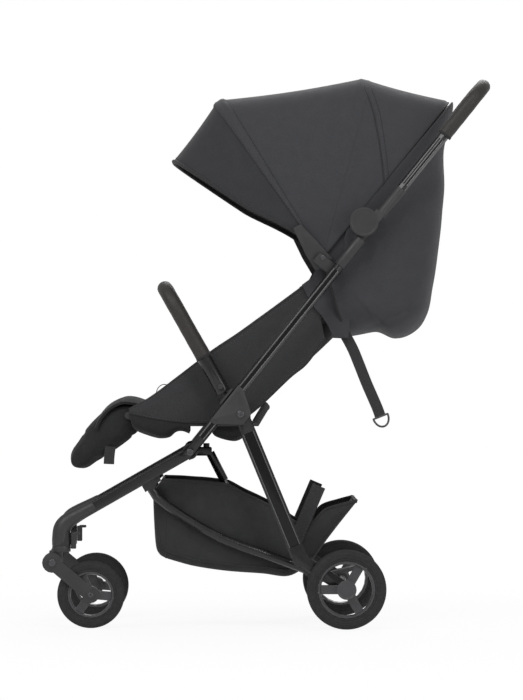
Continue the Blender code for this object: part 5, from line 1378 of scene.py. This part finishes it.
run = (Vector(STAY_TOP) - Vector(STAY_FOOT)).normalized()
beside = Vector((0.0, -run.y, run.x))
for side_name, side in SIDES:
    route = [at(side * (STAY_X + 0.0010 * sin(pi * step / 24)),
                Vector(STAY_FOOT).lerp(Vector(STAY_TOP), step / 24)) for step in range(25)]
    stay = ribbon(route, STAY_WIDTH, 0.0030, beside)
    basket_pieces.append(finish(stay, "basket_stay_" + side_name, "lower_rails", webbing, "webbing"))
    edges = [[place + beside * (shift * (STAY_WIDTH / 2 - 0.0030)) + Vector((side * 0.0017, 0, 0))
              for place in route] for shift in (-1, 1)]
    basket_pieces.append(sewn(edges, sideways_out, "basket_stay_stitches_" + side_name, "lower_rails"))
for piece in basket_pieces:
    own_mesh(piece)
print("basket pieces:", len(basket_pieces))

# %% [markdown]
# The handle grip and the bumper sleeve are leather-look tubes sewn shut along a seam on
# the inner side. Both follow the bent tube inside them, so one U-shaped route serves both.
# The ends are closed by a thin rolled collar.


# %% Handle grip and bumper sleeve
def u_route(base, angle, first, last, half_spread, corner, steps=10):
    """The route of a U tube whose arms run from first to last in a side-view direction."""
    left = [at(half_spread, ahead(base, angle, first + (last - corner - first) * step / 12))
            for step in range(12)]
    for step in range(steps + 1):
        turn = (pi / 2) * step / steps
        x = half_spread - corner * (1 - cos(turn))
        left.append(at(x, ahead(base, angle, last - corner + corner * sin(turn))))
    middle = [Vector((left[-1].x * (1 - 2 * step / 24), left[-1].y, left[-1].z)) for step in range(1, 24)]
    return left + middle + [Vector((-place.x, place.y, place.z)) for place in reversed(left)]


def seam_route(route, radius, lift):
    """A line along the inner side of a U tube, lifted a little off its surface."""
    centre = sum(route, Vector()) / len(route)
    count = len(route)
    inner = []
    for index, place in enumerate(route):
        run = (route[min(index + 1, count - 1)] - route[max(index - 1, 0)]).normalized()
        toward = centre - place
        toward -= run * toward.dot(run)
        inner.append(place + toward.normalized() * (radius + lift))
    return inner


HANDLE_BASE = (0.19592, 0.75679)
BUMPER_BASE = (-0.07808, 0.44047)
BUMPER_ANGLE = radians(119.5)
LEATHER_WAVE = 0.00028
GRIPS = (
    ("handle_grip", "handle_grip_cover", "handle",
     (HANDLE_BASE, MAIN_ANGLE, 0.2216, 0.3434, 0.2170, 0.0520), 0.0135),
    ("bumper_sleeve", "bumper_cover", "bumper",
     (BUMPER_BASE, BUMPER_ANGLE, 0.0805, 0.2317, 0.2000, 0.0500), 0.0142),
)
for source_name, name, body, shape, radius in GRIPS:
    route = u_route(*shape)
    cover = swept(route, radius, resolution=9)
    for corner in cover.data.vertices:
        wave = sin(corner.co.x * 210 + corner.co.z * 160) * sin(corner.co.y * 190 - corner.co.x * 70)
        corner.co += corner.normal * LEATHER_WAVE * wave
    finish(cover, name, body, grip_leather, "grip_foam", source_name)
    seam = seam_route(route, radius, -0.0004)
    finish(swept(seam, 0.0011), name + "_seam", body, binding_tape, "grip_foam")
    centre = sum(route, Vector()) / len(route)
    sideways = at(0.0, (cos(shape[1] + pi / 2), sin(shape[1] + pi / 2)))
    rows = [[place + sideways * shift for place in seam] for shift in (-0.0026, 0.0026)]
    sewn(rows, lambda place: centre - place, name + "_stitches", body, 0.0058)
    for end_name, spot, next_spot in (("left", route[0], route[1]), ("right", route[-1], route[-2])):
        collar = swept([spot, spot + (next_spot - spot).normalized() * 0.0045], radius + 0.0007, resolution=9)
        rounded(collar, 0.0008, 3, radians(50))
        finish(collar, f"{name}_collar_{end_name}", body, lining_cloth, "grip_foam")
print("grips sewn")

# %% [markdown]
# The harness lies on the backrest: two padded shoulder straps, a waist strap, and a crotch
# strap that stands up from the seat with the buckle on its end. Straps are flat, so they
# are drawn directly as ribbons. The shoulder pads are the same ribbon, wider and thicker.

# %% Harness
STRAP_X = 0.0550
STRAP_OUT = 0.0200
STRAP_WIDTH = 0.0250
SHOULDER_PAD_WIDTH = 0.0340
CROTCH_BASE = (-0.1300, 0.4180)
CROTCH_LEAN = radians(70)


def on_back(x, along, aside):
    """A place in front of the backrest, from how far up it is and how far out."""
    return at(x, ahead(BACK_PIVOT, MAIN_ANGLE, along, aside))


def strap(route, width, thickness, name, body, *stands_for, sideways=Vector((1.0, 0.0, 0.0))):
    """A flat strap of webbing along a route."""
    return finish(ribbon(route, width, thickness, sideways), name, body, webbing, "webbing", *stands_for)


out = at(0.0, (-sin(MAIN_ANGLE), cos(MAIN_ANGLE)))
for side_name, side in SIDES:
    x = side * STRAP_X
    route = [on_back(x, 0.0905 + 0.2390 * step / 30, STRAP_OUT + 0.0012 * sin(pi * step / 30))
             for step in range(31)]
    finish(ribbon(route, SHOULDER_PAD_WIDTH, 0.0050), "shoulder_pad_" + side_name, "backrest",
           lining_cloth, "webbing")
    sewn([[place + Vector((shift, 0, 0)) + out * 0.0026 for place in route] for shift in (-0.0135, 0.0135)],
         lambda place: out, "shoulder_pad_stitches_" + side_name, "backrest")
    lower = [on_back(x, 0.0560 + 0.0400 * step / 10, 0.0180 + 0.0020 * step / 10) for step in range(11)]
    upper = [on_back(x, 0.3200 + 0.0300 * step / 10, 0.0205 - 0.0055 * (step / 10) ** 2)
             for step in range(11)]
    strap(lower, STRAP_WIDTH, 0.0018, "shoulder_strap_lower_" + side_name, "backrest")
    strap(upper, STRAP_WIDTH, 0.0018, "shoulder_strap_upper_" + side_name, "backrest")
waist = [on_back(0.120 * (2 * step / 30 - 1), 0.1050,
                 STRAP_OUT + 0.0032 - 0.0060 * abs(2 * step / 30 - 1) ** 3) for step in range(31)]
strap(waist, STRAP_WIDTH, 0.0020, "waist_strap", "backrest", "shoulder_straps",
      sideways=at(0.0, (cos(MAIN_ANGLE), sin(MAIN_ANGLE))))
dressed("harness_buckle", "harness_buckle", MOULDED, 0.0010)
crotch = [at(0.0, ahead(CROTCH_BASE, CROTCH_LEAN, -0.0010 + 0.0440 * step / 12)) for step in range(13)]
strap(crotch, 0.0262, 0.0036, "crotch_strap", "frame")
print("harness made")

# %% [markdown]
# The recline strap hangs in a loose curve from under the back panel and ends in a D ring,
# which the parent pulls. The footrest has a short cloth tab below it, and a thin elastic
# loop stands up at the corner of the seat.

# %% Recline strap, D ring, footrest tab and elastic loop
RECLINE_CURVE = ((0.1490, 0.5560), (0.1640, 0.5280), (0.1760, 0.4990), (0.1896, 0.4645), (0.2020, 0.4360),
                 (0.2110, 0.4150), (0.2168, 0.3990))
RECLINE_WIDTH = 0.0208
RECLINE_X = 0.1550
RING_PLACE = Vector((0.2172, 0.3985))
RING_HANGS_FROM = Vector((0.2070, 0.4240))
RING_HALF = 0.0145
RING_DEPTH = 0.0190
TAB_LINE = ((-0.2960, 0.3420), (-0.2975, 0.3300), (-0.2985, 0.3200), (-0.2990, 0.3085))
LOOP_PLACE = (-0.2085, 0.4420)
LOOP_HALF, LOOP_HEIGHT, LOOP_RISE = 0.0125, 0.0135, 0.0090


def direction_along(corners, share):
    """The direction of a smooth curve at a share of its way."""
    before, after = along_curve(corners, max(share - 0.02, 0.0)), along_curve(corners, min(share + 0.02, 1.0))
    return (after.xy - before.xy).normalized()


def flat_strap(line, x, width, thickness, count=30):
    """A strap whose face looks sideways and whose line bends in the side view."""
    def surface(u, v):
        share = (v + 1) / 2
        run = direction_along(line, share)
        return at(x, along_curve(line, share) + Vector((-run.y, run.x)) * (u * width / 2))

    return rounded(grid_sheet(4, count, surface, thickness), thickness * 0.3, 2, radians(50))


finish(flat_strap(RECLINE_CURVE, RECLINE_X, RECLINE_WIDTH, 0.0024), "recline_strap_webbing", "backrest",
       webbing, "webbing", "recline_strap")
run = (RING_PLACE - RING_HANGS_FROM).normalized()
beside = Vector((-run.y, run.x))
ring_line = [RING_PLACE - run * 0.0010 + beside * RING_HALF * (1 - 2 * step / 8) for step in range(9)]
for step in range(17):
    turn = pi * step / 16
    ring_line.append(RING_PLACE + beside * (-RING_HALF * cos(turn)) + run * (RING_DEPTH * sin(turn)))
ring = swept([at(RECLINE_X, place) for place in ring_line], 0.0020, True)
finish(ring, "recline_ring", "backrest", dark_steel, "bolt_metal")
fold = along_curve(RECLINE_CURVE, 0.90)
sewn([[at(RECLINE_X + 0.0016, fold + Vector((-0.0085 + 0.017 * step / 12, 0.002))) for step in range(13)]],
     lambda place: Vector((1, 0, 0)), "recline_strap_stitches", "backrest", 0.0034, 0.0024)
finish(flat_strap(TAB_LINE, 0.1290, 0.0200, 0.0018, 14), "footrest_tab", "footrest", seat_cloth,
       "seat_fabric")
loop_line = []
for step in range(17):
    turn = pi * step / 16
    loop_line.append(at(0.1520, (LOOP_PLACE[0] + LOOP_HALF * (1 - cos(turn)),
                                 LOOP_PLACE[1] + LOOP_HEIGHT * sin(turn) + LOOP_RISE * step / 16)))
trim(loop_line, 0.0008, "elastic_loop", "frame", lining_cloth)
print("straps made")

# %% [markdown]
# Each front leg bends down into its swivel post in one smooth elbow. The post's square
# shoulders are drawn in under it.

# %% Front elbows
ELBOW_X = 0.1840
ELBOW_LINE = (
    (-0.3880, 0.1560, 0.0170), (-0.3880, 0.1700, 0.0170), (-0.3862, 0.1870, 0.0166),
    (-0.3795, 0.1985, 0.0156), (-0.3664, 0.2080, 0.0142), (-0.3460, 0.2195, 0.0124),
    (-0.3250, 0.2310, 0.0110),
)
ELBOW_RINGS = 36
ELBOW_SIDES = 28
ELBOW_TUCK = 0.90


def elbow_ring(share):
    """Middle, direction and radius of the elbow at a share of its length."""
    place = along_curve(ELBOW_LINE, share)
    return place.xy, direction_along(ELBOW_LINE, share), place.z


for side_name, side in SIDES:
    points = []
    for ring in range(ELBOW_RINGS):
        middle, run, radius = elbow_ring(ring / (ELBOW_RINGS - 1))
        across = Vector((-run.y, run.x))
        for step in range(ELBOW_SIDES):
            turn = 2 * pi * step / ELBOW_SIDES
            points.append(at(side * ELBOW_X + radius * cos(turn), middle + across * radius * sin(turn)))
    faces = [tuple(range(ELBOW_SIDES)), tuple(range(len(points) - ELBOW_SIDES, len(points)))]
    for ring in range(ELBOW_RINGS - 1):
        for step in range(ELBOW_SIDES):
            first, second = ring * ELBOW_SIDES + step, ring * ELBOW_SIDES + (step + 1) % ELBOW_SIDES
            faces.append((first, second, second + ELBOW_SIDES, first + ELBOW_SIDES))
    elbow = rounded(weld(mesh_piece("elbow", points, faces)), 0.0008)
    finish(elbow, "front_elbow_" + side_name, "front_legs", *MOULDED)
    for corner in bpy.data.objects[f"front_leg_{side_name}_dressed"].data.vertices:
        if corner.co.z < ELBOW_LINE[0][1] or corner.co.y > ELBOW_LINE[-2][0]:
            continue
        place = Vector((corner.co.y, corner.co.z))
        middle, run, radius = min((elbow_ring(ring / 40) for ring in range(41)),
                                  key=lambda found: (found[0] - place).length)
        offset = place - middle
        aside = corner.co.x - side * ELBOW_X
        reach = hypot(offset.length, aside)
        if reach > radius * ELBOW_TUCK:
            shrink = radius * ELBOW_TUCK / reach
            corner.co = at(side * ELBOW_X + aside * shrink, middle + offset * shrink)

# %% [markdown]
# Last come the small things on the frame: the plastic arm that holds the front bow at the
# hood hinge, the hinge's screw, and the raised lines of the side tubes and handle arms,
# whose lighter grey is a painted highlight.

# %% Small details
RIDGE_RADIUS = 0.0014
RIDGE_SPREAD = 0.0046
TUBE_X = 0.2170
HINGE_ARM_X = 0.1945
HINGE_ARM = ((-0.0560, 0.0560), (-0.0420, 0.0640), (-0.0120, 0.0330), (0.0090, 0.0090), (0.0190, -0.0010),
             (0.0080, -0.0180), (-0.0140, -0.0240), (-0.0330, 0.0080))


def tube_ridges(name, first, last, proud, body):
    """Two raised lines along a tube, as an extruded profile has, in a lighter grey that is a painted
    highlight, with a dark groove between.
    """
    start, end = (Vector(ahead(LOWER_PIVOT, MAIN_ANGLE, distance)) for distance in (first, last))
    run = (end - start).normalized()
    beside = Vector((-run.y, run.x))
    for side_name, side in SIDES:
        for line, shift in (("upper", RIDGE_SPREAD), ("lower", -RIDGE_SPREAD)):
            route = [at(side * (TUBE_X + proud), start.lerp(end, step / 8) + beside * shift)
                     for step in range(9)]
            finish(swept(route, RIDGE_RADIUS, resolution=3), f"{name}_{line}_ridge_{side_name}", body,
                   painted_highlight_grey, "frame_metal")
        route = [at(side * (TUBE_X + proud + 0.0004), start.lerp(end, step / 8)) for step in range(9)]
        groove = ribbon(route, 2 * RIDGE_SPREAD - 2 * RIDGE_RADIUS, 0.0008, at(0.0, beside))
        finish(groove, f"{name}_groove_{side_name}", body, gloss_black, "frame_metal")


for side_name, side in SIDES:
    corners = [(side * HINGE_ARM_X, HOOD_HINGE[0] + dy, HOOD_HINGE[1] + dz) for dy, dz in HINGE_ARM]
    arm = mesh_piece("hinge_arm", corners, [tuple(range(len(HINGE_ARM)))])
    modified(arm, "SOLIDIFY", thickness=0.0036, offset=0.0)
    rounded(arm, 0.0012, 3, radians(35))
    finish(arm, "hood_hinge_arm_" + side_name, "hood_front", *MOULDED)
tube_ridges("side_tube", 0.0350, 0.4400, 0.0087, "frame")
tube_ridges("handle_arm", 0.6460, 0.7560, 0.0075, "handle")
for side_name, side in SIDES:
    place_screw(small_screw, "hood_hinge_screw_" + side_name, "hood_rear_bow", HOOD_HINGE, side, "frame")
for master in (large_screw, small_screw):
    bpy.data.objects.remove(master)
print("small details made")
